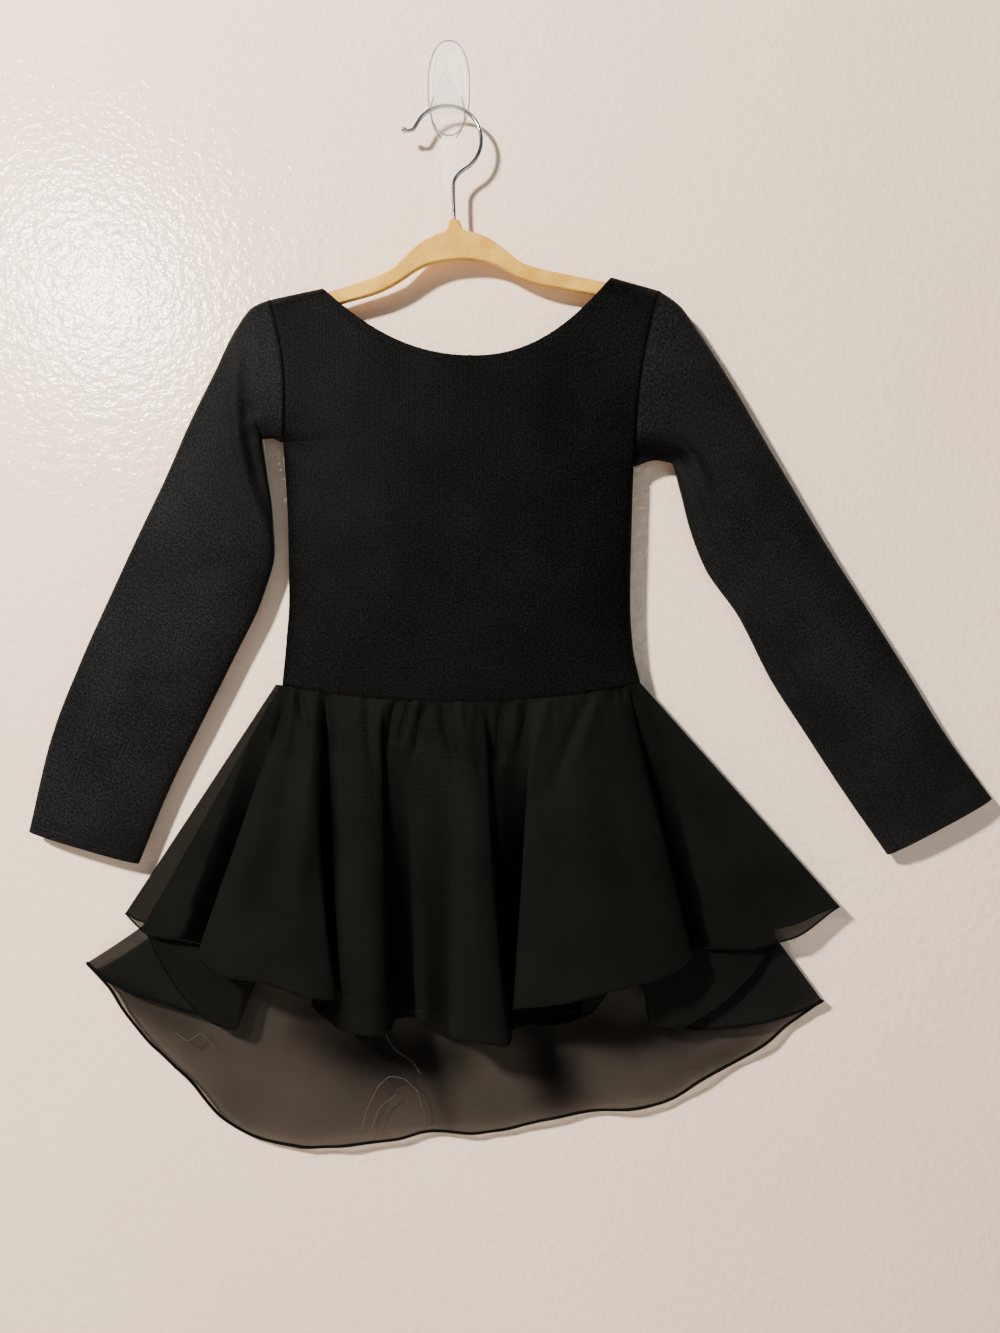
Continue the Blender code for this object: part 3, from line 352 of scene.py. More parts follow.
# The right sleeve's underarm seam, which is turned a little to the front: share across, by station
UNDERARM_SEAM = [(0.0, 0.02), (2.4, 0.1), (4.0, 0.2), (6.0, 0.2), (8.0, 0.16), (10.0, 0.1)]
CUFF_HEM = 7.0
CUFF_STITCHES = (CUFF_HEM + 0.3, CUFF_HEM - 2.4)
NECK_HEM = 6.0
LEG_RADIUS = 1.0           # the turned edge of a leg hole
STITCH = {"length": 2.3, "gap": 0.9, "radius": 0.22, "lift": 0.05}
MERROW_STEP = 0.5
MERROW_PITCH = 1.5         # one turn of the overcasting thread
FRAY_RADIUS = 0.16
FRAY_LENGTHS = (1.2, 4.6)
FRAY_CLUSTER = 31.0
SEAM_DARK, SEAM_SINK, SEAM_REACH = 0.9, 0.4, 1.2      # of a seam: how dark, how deep, how far it reaches
SEAM_RADIUS = 0.5
SEAM_AND_SHADE_ATTRIBUTE = "seam_and_painted_shade"          # the mesh attribute that says how dark a point is painted: along a seam, and as painted shade deep between folds, in pinched armpits and under the folds in front of the sheer sheet
VALLEY_SHADE_REACH = 17.0
MERGE_DISTANCE = 1e-6      # metres

# Sockets of a Mix node that mixes colours, and the ends of a colour ramp where nothing else is said
MIX_FIRST, MIX_SECOND, MIX_RESULT = 6, 7, 2
# The black that dark seams and painted shade mix towards
SEAM_AND_SHADE_BLACK = (0.00004, 0.00004, 0.00004, 1)
RAMP_ENDS = (0.3, 0.7)

# Lights: place in metres, diameter, watts, colour, what it points at, and what it is left out of. The key gives
# the one shadow, and the glare only the shine on the wall and the cloth.
GARMENT_MIDDLE = (0.01, 0.0, -0.42)
LIGHTS = [
    ("key", (-1.22, -1.36, 0.62), 0.20, 156.0, (1.0, 0.950, 0.895), GARMENT_MIDDLE, "visible_glossy"),
    ("glare", (-0.74, -1.20, 0.30), 0.24, 25.0, (1.0, 0.94, 0.87), (-0.16, 0.0, -0.22), "visible_diffuse"),
    ("overhead", (0.15, -1.5, 2.2), 1.3, 9.0, (0.88, 0.95, 1.0), GARMENT_MIDDLE, None),
    ("fill", (1.2, -2.6, -0.5), 1.8, 11.0, (0.80, 0.92, 1.0), GARMENT_MIDDLE, None),
    ("behind", (0.5, 2.0, 0.4), 1.4, 30.0, (1.0, 0.98, 0.96), GARMENT_MIDDLE, None),
]


def smooth(keys, values, at):
    """A monotone cubic through rows (keys, values): it rounds every fold and never overshoots a row."""
    keys, values, at = (np.asarray(a, float) for a in (keys, values, at))
    gaps = np.diff(keys)
    slopes = np.diff(values) / gaps
    tangents = np.zeros(len(keys))
    tangents[0], tangents[-1] = slopes[0], slopes[-1]
    for i in range(1, len(keys) - 1):
        before, after = slopes[i - 1], slopes[i]
        if before * after > 0:
            w1, w2 = 2 * gaps[i] + gaps[i - 1], gaps[i] + 2 * gaps[i - 1]
            tangents[i] = (w1 + w2) / (w1 / before + w2 / after)
    k = np.clip(np.searchsorted(keys, at, side="right") - 1, 0, len(gaps) - 1)
    h = gaps[k]
    t = (at - keys[k]) / h
    return (values[k] * (2 * t**3 - 3 * t**2 + 1) + tangents[k] * h * (t**3 - 2 * t**2 + t)
            + values[k + 1] * (3 * t**2 - 2 * t**3) + tangents[k + 1] * h * (t**3 - t**2))


def column(table, index):
    return [row[index] for row in table]


def read(table, index, at):
    """A column of a table as a smooth curve over its first column."""
    return smooth(column(table, 0), column(table, index), at)


def runs(parts):
    """Even steps from each start to the next, from parts (start, how many), and the last start itself."""
    starts = [np.linspace(a, b, count, endpoint=False) for (a, count), (b, _) in zip(parts, parts[1:])]
    return np.concatenate(starts + [[parts[-1][0]]])


def lengths_along(points):
    """How far each point of a line lies from its start."""
    points = np.asarray(points, float)
    return np.concatenate([[0], np.cumsum(np.linalg.norm(np.diff(points, axis=0), axis=1))])


def at_length(line, run, at):
    """Points of a line at some lengths, where run says how far along each of its points lies."""
    return np.stack([np.interp(at, run, np.asarray(line)[:, i]) for i in range(3)], axis=-1)


def oval(share):
    """How full a flattened oval is at a share from -1 to 1 of its half width."""
    return (1 - np.minimum(np.abs(share), 1.0) ** ROUND_ACROSS) ** (1 / ROUND_DEPTH)


def place(x, depth, z):
    return np.stack(np.broadcast_arrays(x, -np.asarray(depth), z), axis=-1) * MM


def drift(x, z, scale, phase):
    """Slow uneven waves from about -1 to 1, the same at every run."""
    first = np.sin(x / scale + 1.3 * phase + 1.7 * np.sin(z / (1.9 * scale) + phase))
    second = np.sin(z / (1.3 * scale) - 2.1 * phase + 1.1 * np.sin(x / (0.7 * scale) - phase))
    third = np.sin((x + z) / (0.8 * scale) + 0.7 * phase)
    return (first + second + 0.6 * third) / 2.6


def dip(distance, reach):
    """A soft groove: 1 in its middle, 0 well beyond its reach."""
    return np.exp(-(distance / reach) ** 2)


def creased(x, z, creases):
    """The height of all creases at (x, z). Each fades out towards its ends."""
    total = np.zeros(np.broadcast(x, z).shape)
    for line, half_width, height in creases:
        line = np.array(line, float)
        run = lengths_along(line)
        nearest = np.full(total.shape, np.inf)
        share = np.zeros(total.shape)
        for i, (start, end) in enumerate(zip(line, line[1:])):
            way = end - start
            t = np.clip(((x - start[0]) * way[0] + (z - start[1]) * way[1]) / way.dot(way), 0, 1)
            off = np.hypot(x - start[0] - t * way[0], z - start[1] - t * way[1])
            closer = off < nearest
            nearest = np.where(closer, off, nearest)
            share = np.where(closer, (run[i] + t * (run[i + 1] - run[i])) / run[-1], share)
        total += height * dip(nearest, half_width) * np.sqrt(4 * share * (1 - share) + 0.02)
    return total


# Making meshes

def add_mesh(name, points, faces, material, uvs=None, seams_and_painted_shades=None):
    mesh = bpy.data.meshes.new(name)
    mesh.from_pydata(points, [], faces)
    if seams_and_painted_shades is not None:
        depths = np.concatenate([np.ravel(seam_and_painted_shade) for seam_and_painted_shade in seams_and_painted_shades])
        mesh.attributes.new(SEAM_AND_SHADE_ATTRIBUTE, "FLOAT", "POINT").data.foreach_set("value", depths)
    if uvs is not None:
        layer = mesh.uv_layers.new(name="cloth")
        corners = np.empty(len(mesh.loops), int)
        mesh.loops.foreach_get("vertex_index", corners)
        layer.data.foreach_set("uv", np.asarray(uvs, float)[corners].ravel())
    mesh.materials.append(material)
    mesh.shade_smooth()
    return add_object(name, mesh)


def add_object(name, data):
    piece = bpy.data.objects.new(name, data)
    bpy.context.scene.collection.objects.link(piece)
    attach(piece, "root")
    return piece


def grid_faces(rows, columns, closed=False, first=0):
    """Quads of a grid whose points are counted row by row, closed round the columns if asked."""
    spans = columns if closed else columns - 1
    i, j = np.meshgrid(np.arange(rows - 1), np.arange(spans), indexing="ij")
    after = (j + 1) % columns
    corners = [i * columns + j, i * columns + after, (i + 1) * columns + after, (i + 1) * columns + j]
    return (np.stack(corners, axis=-1).reshape(-1, 4) + first).tolist()


def tube_faces(rings, sides, first=0):
    """Faces of a tube of rings of points, closed at both ends."""
    last = first + (rings - 1) * sides
    return grid_faces(rings, sides, closed=True, first=first) + [
        list(range(first, first + sides))[::-1], list(range(last, last + sides))]


def merge_close(piece):
    bm = bmesh.new()
    bm.from_mesh(piece.data)
    bmesh.ops.remove_doubles(bm, verts=bm.verts, dist=MERGE_DISTANCE)
    bmesh.ops.recalc_face_normals(bm, faces=bm.faces)
    bm.to_mesh(piece.data)
    bm.free()


def sheet_piece(name, grids, uvs, material, closed=False, wall=0.0, seams_and_painted_shades=None):
    """One sheet of cloth from grids of points in metres, given a wall if it is a thick cloth."""
    points, faces, flat = [], [], []
    for grid, uv in zip(grids, uvs):
        faces += grid_faces(*grid.shape[:2], closed=closed, first=len(points))
        points += grid.reshape(-1, 3).tolist()
        flat += uv.reshape(-1, 2).tolist()
    piece = add_mesh(name, points, faces, material, flat, seams_and_painted_shades)
    merge_close(piece)
    piece.data.shade_smooth()
    if wall:
        solidify = piece.modifiers.new("wall", "SOLIDIFY")
        solidify.thickness = wall * MM
        solidify.offset = 0
    return piece


def frames_along(path):
    """Two unit directions across a line of points, which turn as little as they can."""
    along = np.gradient(path, axis=0)
    along /= np.linalg.norm(along, axis=1)[:, None]
    across = np.zeros_like(along)
    side = np.cross(along[0], (0.0, 1.0, 0.0))
    if np.linalg.norm(side) < 0.1:
        side = np.cross(along[0], (1.0, 0.0, 0.0))
    for i, direction in enumerate(along):
        side = side - direction * side.dot(direction)
        side /= np.linalg.norm(side)
        across[i] = side
    return across, np.cross(along, across)


def tube_mesh(name, path, radii, sides, material):
    """A tube round a line of points in metres. radii is one radius, or one for every point and side."""
    across, up = frames_along(path)
    angles = np.linspace(0, 2 * math.pi, sides, endpoint=False)
    radii = np.broadcast_to(radii, (len(path), sides))
    ring = across[:, None] * np.cos(angles)[None, :, None] + up[:, None] * np.sin(angles)[None, :, None]
    points = (path[:, None] + ring * radii[..., None]).reshape(-1, 3).tolist()
    return add_mesh(name, points, tube_faces(len(path), sides), material)


def respaced(path, step):
    run = lengths_along(path)
    return at_length(path, run, np.linspace(0, run[-1], max(3, int(round(run[-1] / step)) + 1)))


def merrowed_edge(name, path, material, radius):
    """A rolled and overcast edge: a cord whose thread turns round it."""
    path = respaced(path, MERROW_STEP * MM)
    sides = 6
    turns = np.arange(len(path))[:, None] * MERROW_STEP / MERROW_PITCH * 2 * math.pi
    around = np.linspace(0, 2 * math.pi, sides, endpoint=False)[None, :]
    uneven = drift(path[:, :1] / MM, path[:, 2:] / MM, 9.0, 2.0)
    radii = radius * MM * (1 + 0.18 * np.sin(turns + around) + 0.1 * uneven)
    return tube_mesh(name, path, radii, sides, material)


def frayed_threads(name, path, material, every, seed):
    """Short loose threads along a cut edge, in uneven clusters."""
    pick = np.random.default_rng(seed)
    run = lengths_along(path)
    shares, turns = np.linspace(0, 1, 5), (0.0, 2.1, 4.2)
    points, faces = [], []
    for start in np.arange(every / 2, run[-1] / MM, every):
        at = (start + pick.uniform(-0.5, 0.5) * every) * MM
        if pick.random() < 0.35 + 0.3 * math.sin(start / FRAY_CLUSTER + seed):
            continue
        root = at_length(path, run, at)
        lean = pick.uniform(-1.0, 1.0)
        length = pick.uniform(*FRAY_LENGTHS) * MM
        curl = pick.uniform(-0.6, 0.6)
        faces += tube_faces(len(shares), len(turns), first=len(points))
        for share in shares:
            angle = lean + curl * share * 2.4
            middle = root + length * share * np.array((math.sin(angle), -0.25 * curl, -math.cos(angle)))
            reach = FRAY_RADIUS * MM * (1 - 0.5 * share)
            for turn in turns:
                points.append((middle + reach * np.array((math.cos(turn), math.sin(turn), 0.0))).tolist())
    return add_mesh(name, points, faces, material)


def stitch_row(name, path, outward, material):
    """Short threads end to end along a line of points in metres, each a little cushion."""
    run = lengths_along(path)
    length, pitch = STITCH["length"] * MM, (STITCH["length"] + STITCH["gap"]) * MM
    profile = [(0.0, 0.35), (0.2, 0.95), (0.5, 1.0), (0.8, 0.95), (1.0, 0.35)]
    sides = 5
    angles = np.linspace(0, 2 * math.pi, sides, endpoint=False)
    points, faces = [], []
    for start in np.arange(pitch / 2, run[-1] - pitch, pitch):
        a, b = (at_length(path, run, end) for end in (start, start + length))
        along = (b - a) / np.linalg.norm(b - a)
        out = at_length(outward, run, start)
        out = out - along * out.dot(along)
        out /= np.linalg.norm(out)
        side = np.cross(along, out)
        faces += tube_faces(len(profile), sides, first=len(points))
        for share, full in profile:
            middle = a + (b - a) * share + out * STITCH["lift"] * MM * (1 - (2 * share - 1) ** 2)
            for angle in angles:
                reach = STITCH["radius"] * MM * full
                points.append((middle + (out * math.cos(angle) + side * math.sin(angle)) * reach).tolist())
    return add_mesh(name, points, faces, material)


# Materials

class Nodes:
    """A material's node tree, with one short call for each kind of node used here."""

    def __init__(self, name):
        self.material = bpy.data.materials.new(name)
        self.material.use_nodes = True
        self.tree = self.material.node_tree
        self.shader = self.tree.nodes["Principled BSDF"]
        self.output = self.tree.nodes["Material Output"]

    def node(self, kind, **settings):
        made = self.tree.nodes.new(kind)
        for key, value in settings.items():
            if key in made.inputs.keys():
                made.inputs[key].default_value = value
            else:
                setattr(made, key, value)
        return made

    def link(self, start, end):
        self.tree.links.new(start, end)

    def place(self, source, size):
        """Texture coordinates in units of size (one length in metres, or three), from UV or Object."""
        where = self.node("ShaderNodeTexCoord")
        mapping = self.node("ShaderNodeMapping")
        mapping.inputs["Scale"].default_value = [1 / s for s in np.broadcast_to(size, 3)]
        self.link(where.outputs[source], mapping.inputs["Vector"])
        return mapping.outputs["Vector"]

    def noise(self, source, size, detail=3.0, roughness=0.55):
        made = self.node("ShaderNodeTexNoise", Scale=1.0, Detail=detail, Roughness=roughness)
        self.link(self.place(source, size), made.inputs["Vector"])
        return made.outputs["Fac"]

    def wave(self, vector, direction, distortion):
        made = self.node("ShaderNodeTexWave", bands_direction=direction, Scale=1.0, Distortion=distortion)
        self.link(vector, made.inputs["Vector"])
        return made.outputs["Fac"]

    def math(self, operation, first, second):
        made = self.node("ShaderNodeMath", operation=operation)
        for socket, value in zip(made.inputs, (first, second)):
            if isinstance(value, (int, float)):
                socket.default_value = value
            else:
                self.link(value, socket)
        return made.outputs[0]

    def weighted(self, *parts):
        """The sum of two outputs, each times its weight."""
        return self.math("ADD", *(self.math("MULTIPLY", fac, weight) for fac, weight in parts))

    def ramp(self, fac, low, high, at=RAMP_ENDS):
        made = self.node("ShaderNodeValToRGB")
        for element, position, colour in zip(made.color_ramp.elements, at, (low, high)):
            element.position = position
            element.color = (*colour, 1)
        self.link(fac, made.inputs["Fac"])
        return made.outputs["Color"]

    def colour(self, fac, low, high, at=RAMP_ENDS):
        self.link(self.ramp(fac, low, high, at), self.shader.inputs["Base Color"])

    def bump(self, height, distance, strength):
        made = self.node("ShaderNodeBump", Distance=distance, Strength=strength)
        self.link(height, made.inputs["Height"])
        self.link(made.outputs["Normal"], self.shader.inputs["Normal"])

    def set(self, **values):
        for key, value in values.items():
            self.shader.inputs[key.replace("_", " ")].default_value = value


def darkened(m, colour):
    """The colour, going to black along dark seams and where the mesh asks for painted shade: between folds, in
    pinched armpits and under the folds in front of the sheer sheet.
    """
    seam_and_painted_shade = m.node("ShaderNodeAttribute", attribute_name=SEAM_AND_SHADE_ATTRIBUTE).outputs["Fac"]
    dyed = m.node("ShaderNodeMix", data_type="RGBA")
    m.link(seam_and_painted_shade, dyed.inputs["Factor"])
    m.link(colour, dyed.inputs[MIX_FIRST])
    dyed.inputs[MIX_SECOND].default_value = SEAM_AND_SHADE_BLACK
    m.link(dyed.outputs[MIX_RESULT], m.shader.inputs["Base Color"])
    return seam_and_painted_shade


def jersey_material(name, low, high):
    """Matte cotton jersey: fine columns of knit, a little lint and uneven dye."""
    m = Nodes(name)
    knit = m.place("UV", (0.0055, 0.0042, 1.0))
    knitted = m.weighted((m.wave(knit, "X", 0.4), 0.6), (m.wave(knit, "Y", 0.6), 0.4))
    fibre = m.noise("UV", 0.0016, roughness=0.7)
    cloudy = m.noise("Object", 0.06, detail=4.0)
    # Darker along the seams, and with painted shade in the armpits where the mesh asks for it
    darkened(m, m.ramp(m.weighted((fibre, 0.8), (cloudy, 0.2)), low, high, at=(0.44, 0.68)))
    m.bump(m.weighted((knitted, 0.5), (fibre, 0.8)), 0.00032, 0.7)
    m.set(Roughness=0.54, Sheen_Weight=0.010, Sheen_Roughness=0.45, Specular_IOR_Level=0.07)
    return m.material


def chiffon_material(name, alpha, low, high, shaded=False):
    """Crepe chiffon, painted darker between its folds. A shaded one is also painted more opaque under the folds
    that keep the light off it: a painted shadow.
    """
    m = Nodes(name)
    weave = m.place("UV", 0.0032)
    threads = m.math("MULTIPLY", m.wave(weave, "X", 0.8), m.wave(weave, "Y", 0.8))
    crepe = m.noise("UV", (0.0011, 0.0016, 1.0))
    cloudy = m.noise("Object", 0.05)
    seam_and_painted_shade = darkened(m, m.ramp(m.weighted((crepe, 0.7), (cloudy, 0.3)), low, high))
    m.bump(m.weighted((threads, 0.4), (crepe, 1.0)), 0.0002, 0.5)
    m.set(Roughness=0.55, Alpha=alpha, Sheen_Weight=0.008, Sheen_Roughness=0.4, Specular_IOR_Level=0.03)
    if shaded:
        # Painted shadow: the cover rises with the painted shade, and a little with the uneven weave
        cover = m.math("ADD", m.weighted((cloudy, 0.09), (seam_and_painted_shade, 0.115)), alpha - 0.045)
        m.link(cover, m.shader.inputs["Alpha"])
    return m.material


def plain_material(name, size, low, high, bump=None, **settings):
    """A material of one noise, which tints it and may raise it."""
    m = Nodes(name)
    fac = m.noise("Object", size, detail=2.0)
    m.colour(fac, low, high)
    if bump:
        m.bump(fac, *bump)
    m.set(**settings)
    return m.material


def thread_material(name, low, high):
    """Overlock or stitching thread: twisted, a little shinier than the cloth."""
    return plain_material(name, 0.0007, low, high, bump=(0.0001, 0.5), Roughness=0.8, Specular_IOR_Level=0.04)


def flock_material():
    m = Nodes("beige_flock")
    pile = m.noise("Object", 0.0014, detail=4.0, roughness=0.7)
    brushed = m.noise("Object", (0.02, 0.02, 0.012))
    tone = m.weighted((pile, 0.5), (brushed, 0.5))
    m.colour(tone, (0.41, 0.205, 0.024), (0.64, 0.375, 0.059), at=(0.38, 0.62))
    m.bump(pile, 0.0003, 0.7)
    m.set(Roughness=0.95, Sheen_Weight=0.35, Sheen_Roughness=0.5, Sheen_Tint=(1.0, 0.92, 0.75, 1.0),
          Specular_IOR_Level=0.15)
    return m.material


def chrome_material():
    m = Nodes("chrome_wire")
    drawn = m.noise("Object", (0.004, 0.004, 0.02))
    m.colour(drawn, (0.36, 0.37, 0.38), (0.56, 0.57, 0.58))
    m.link(m.math("ADD", m.math("MULTIPLY", drawn, 0.12), 0.1), m.shader.inputs["Roughness"])
    m.set(Metallic=1.0)
    return m.material


def clear_material():
    """Clear injection-moulded plastic, faintly uneven."""
    return plain_material("clear_plastic", (0.012, 0.012, 0.02), (0.50, 0.49, 0.47), (0.64, 0.63, 0.61),
                          bump=(0.0004, 0.3), Roughness=0.06, IOR=1.46, Alpha=0.14, Specular_IOR_Level=0.7)


def strip_material():
    """Thin milky film with a faint grain."""
    return plain_material("adhesive_film", (0.003, 0.003, 0.006), (0.80, 0.79, 0.76), (0.90, 0.89, 0.86),
                          bump=(0.0002, 0.3), Roughness=0.4, Alpha=0.09, Specular_IOR_Level=0.3)


def rim_material(name, alpha, low, high):
    """A painted line for how a clear rim bends the light, of two kinds: a fine grey painted refraction line and
    a pale painted highlight.
    """
    return plain_material(name, (0.01, 0.01, 0.015), low, high,
                          Roughness=0.15, Alpha=alpha, Specular_IOR_Level=0.6)


def stage_material(name, low, high, one_sided=False):
    """Pale paint. A one-sided wall is clear from behind, so the back of the part can be seen."""
    m = Nodes(name)
    m.colour(m.noise("Object", 0.5, detail=2.0), low, high)
    m.bump(m.noise("Object", 0.0065, detail=2.0), 0.0013, 0.6)
    m.set(Roughness=0.17, Specular_IOR_Level=0.5)
    if one_sided:
        facing = m.node("ShaderNodeNewGeometry")
        clear = m.node("ShaderNodeBsdfTransparent")
        either = m.node("ShaderNodeMixShader")
        m.link(facing.outputs["Backfacing"], either.inputs[0])
        m.link(m.shader.outputs["BSDF"], either.inputs[1])
        m.link(clear.outputs["BSDF"], either.inputs[2])
        m.link(either.outputs["Shader"], m.output.inputs["Surface"])
    return m.material


# Bodice

def outer_edge(half, z):
    """The x of the side seam, or above the armpit of the armhole seam, at height z."""
    armpit_z, armpit_x = half["side"][-1]
    tip_x, tip_z = half["tip"]
    share = np.clip((z - armpit_z) / (tip_z - armpit_z), 0, 1)
    armhole = armpit_x + (tip_x - armpit_x) * share + half["armhole_bow"] * 4 * share * (1 - share)
    return np.where(z > armpit_z, armhole, read(half["side"], 1, np.minimum(z, armpit_z)))


def armhole_depth(share, front):
    return (ARMHOLE_FRONT if front else ARMHOLE_BACK) * oval(2 * np.clip(share, 0, 1) - 1)


def bodice_depth(half, front, x, z):
    """How far a bodice panel stands off the middle plane at (x, z), with its creases."""
    armpit_z, tip_z = half["side"][-1][0], half["tip"][1]
    outer_x = outer_edge(half, z)
    along = np.clip((z - armpit_z) / (tip_z - armpit_z), 0, 1)
    share = (x - BODICE_X) / (outer_x - BODICE_X)
    stand_off = read(BODICE_DEPTHS, 1 if front else 2, z)
    depth = np.hypot(stand_off * oval(share), armhole_depth(along, front) * np.abs(share) ** ARMHOLE_EASE)
    pressed, wave, ripple = (1.0, 1.0, 0.4) if front else (0.6, 2.6, 1.9)
    free = oval(share) ** 1.5
    depth = depth + free * (creased(x, z, BODICE_CREASES) * pressed + 0.45 * drift(x, z, 34.0, wave)
                            + 0.16 * drift(x, z, 11.0, ripple))
    depth = depth - SEAM_SINK * dip(outer_x - x, SEAM_REACH) * (along > 0) * np.minimum(depth / 3, 1)
    (neck_x, neck_z), (tip_x, _) = half["neck_end"], half["tip"]
    shoulder_z = neck_z + (tip_z - neck_z) * np.clip((x - neck_x) / (tip_x - neck_x), 0, 1)
    drop = np.clip((shoulder_z - z) / SHOULDER_ROUND, 0, 1)
    return depth * np.sqrt(1 - (1 - drop) ** 2)


def neckline(half, front, swing):
    scoop_z = FRONT_SCOOP_Z if front else BACK_SCOOP_Z
    neck_x, neck_z = half["neck_end"]
    return SCOOP_X + (neck_x - SCOOP_X) * swing, scoop_z + (neck_z - scoop_z) * swing ** NECK_CURVE


def bodice_half(half, front):
    """Points of half a bodice panel, from the waist to the shoulder, middle to outer edge."""
    scoop_z = FRONT_SCOOP_Z if front else BACK_SCOOP_Z
    armpit_z, waist_z, tip_z = half["side"][-1][0], half["side"][0][0], half["tip"][1]
    step = 1 - (1 - np.linspace(0, 1, BODICE_ACROSS)) ** 1.7

    def row(inner, outer_z):
        return inner[0] + (outer_edge(half, outer_z) - inner[0]) * step, inner[1] + (outer_z - inner[1]) * step

    rows = []
    for up in np.linspace(0, 1, ROWS_BELOW_ARMPIT, endpoint=False):
        inner_z = WAIST_MIDDLE_Z + (ARMPIT_LEVEL_Z - WAIST_MIDDLE_Z) * up
        x, z = row((SCOOP_X, inner_z), waist_z + (armpit_z - waist_z) * up)
        rows.append((x, z + (waist_height(x) + (inner_z - WAIST_MIDDLE_Z) - z) * (1 - up)))
    alongs = (1 - np.cos(np.linspace(0, math.pi, ROWS_ABOVE_ARMPIT))) / 2
    for along in np.sort(np.append(alongs, SCOOP_SHARE)):
        if along <= SCOOP_SHARE:
            inner = SCOOP_X, ARMPIT_LEVEL_Z + (scoop_z - ARMPIT_LEVEL_Z) * along / SCOOP_SHARE
        else:
            inner = neckline(half, front, 1 - ((1 - along) / (1 - SCOOP_SHARE)) ** 1.5)
        rows.append(row(inner, armpit_z + (tip_z - armpit_z) * along))
    x, z = (np.array(column(rows, i)) for i in (0, 1))
    depth = bodice_depth(half, front, x, z)
    above_armpit = np.arange(len(x))[:, None] >= ROWS_BELOW_ARMPIT
    seam_and_painted_shade = SEAM_DARK * dip(outer_edge(half, z) - x, SEAM_REACH) * above_armpit
    points = place(x, HANG_DEPTH + depth if front else HANG_DEPTH - depth, z)
    return points, np.stack([x, z], axis=-1) * MM, seam_and_painted_shade


def make_bodice(jersey, thread):
    for name, front, flat, area in (("bodice_front", True, (0.30, 0.32), 0.0745),
                                    ("bodice_back", False, (0.30, 0.32), 0.0700)):
        points, uvs, seams_and_painted_shades = zip(bodice_half(LEFT, front), bodice_half(RIGHT, front))
        cloth = sheet_piece(name + "_cloth", points, uvs, jersey, wall=JERSEY_WALL, seams_and_painted_shades=seams_and_painted_shades)
        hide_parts(name)
        rows = neck_stitches(name, front, thread)


def neck_stitches(name, front, thread):
    """The row of stitches that holds the turned edge of the neckline."""
    path = []
    for half, swings in ((LEFT, np.linspace(1, 0, 60, endpoint=False)), (RIGHT, np.linspace(0, 1, 60))):
        path += list(zip(*neckline(half, front, swings)))
    path = np.array(path)
    run = np.gradient(path, axis=0)
    run /= np.linalg.norm(run, axis=1)[:, None]
    below = (path + np.stack([run[:, 1], -run[:, 0]], axis=-1) * NECK_HEM)[4:-4]
    depth = np.array([float(bodice_depth(LEFT if x < SCOOP_X else RIGHT, front, np.array(x), np.array(z)))
                      for x, z in below]) + JERSEY_WALL / 2
    side = 1 if front else -1
    line = place(below[:, 0], HANG_DEPTH + side * depth, below[:, 1])
    row = stitch_row(name + "_neck_stitches", line, np.tile((0.0, -side, 0.0), (len(line), 1)), thread)
    return [row]


# Sleeves

def sleeve_surface(table, half, creases, front, stations, share, seam=False, painted_armpit_shade=()):
    """x, depth and z of one face of a sleeve, its length so far at every row, and how dark it is painted along
    its seam and with painted shade in the armpit.
    """
    rows = [ends + depths for ends, depths in zip(table, SLEEVE_DEPTHS)]
    inner_x, inner_z, outer_x, outer_z, middle, fore, aft = (
        smooth(range(len(rows)), column(rows, i), stations)[:, None] for i in range(7))
    share = share[None, :]
    bow = half["armhole_bow"] * np.maximum(0.0, 1 - stations / 2)[:, None]
    x = inner_x + (outer_x - inner_x) * share + bow * 4 * share * (1 - share)
    z = inner_z + (outer_z - inner_z) * share
    run = lengths_along(np.concatenate([inner_x + outer_x, inner_z + outer_z], axis=1) / 2)
    from_armhole, from_cuff = run[:, None], (run[-1] - run)[:, None]
    full = oval(2 * share - 1)
    plain = (fore if front else aft) * full
    pressed = creased(x, z, creases) * (1.0 if front else 0.55)
    waves = 0.5 * drift(x, z, 24.0, 3.1 if front else 4.2) + 0.16 * drift(x, z, 9.0, 1.1)
    free = full * np.clip(from_armhole / 25, 0, 1) * np.clip(from_cuff / 30, 0.15, 1)
    bulge = np.maximum(plain + full * pressed + free * waves, 0.22 * plain)
    bulge = bulge - SEAM_SINK * dip(from_armhole, SEAM_REACH) * np.minimum(bulge / 3, 1)
    from_hem = from_cuff - CUFF_HEM
    hem = 0.28 / (1 + np.exp(np.minimum(from_hem / 0.5, 60))) - 0.3 * dip(from_hem, 0.9)
    bulge = bulge + hem * np.minimum(full * 2, 1)
    if seam and front:
        width = np.hypot(outer_x - inner_x, outer_z - inner_z)
        to_seam = (share - read(UNDERARM_SEAM, 1, stations)[:, None]) * width
        bulge = bulge - 0.8 * dip(to_seam, SEAM_REACH) * np.clip(bulge / 2, 0, 1)
    # A dark line along the armhole seam, and painted shade where the armpit is pinched
    seam_and_painted_shade = SEAM_DARK * dip(from_armhole, SEAM_REACH) + creased(x, z, painted_armpit_shade)
    return x, middle + (bulge if front else -bulge), z, run, np.clip(seam_and_painted_shade, 0, 1)


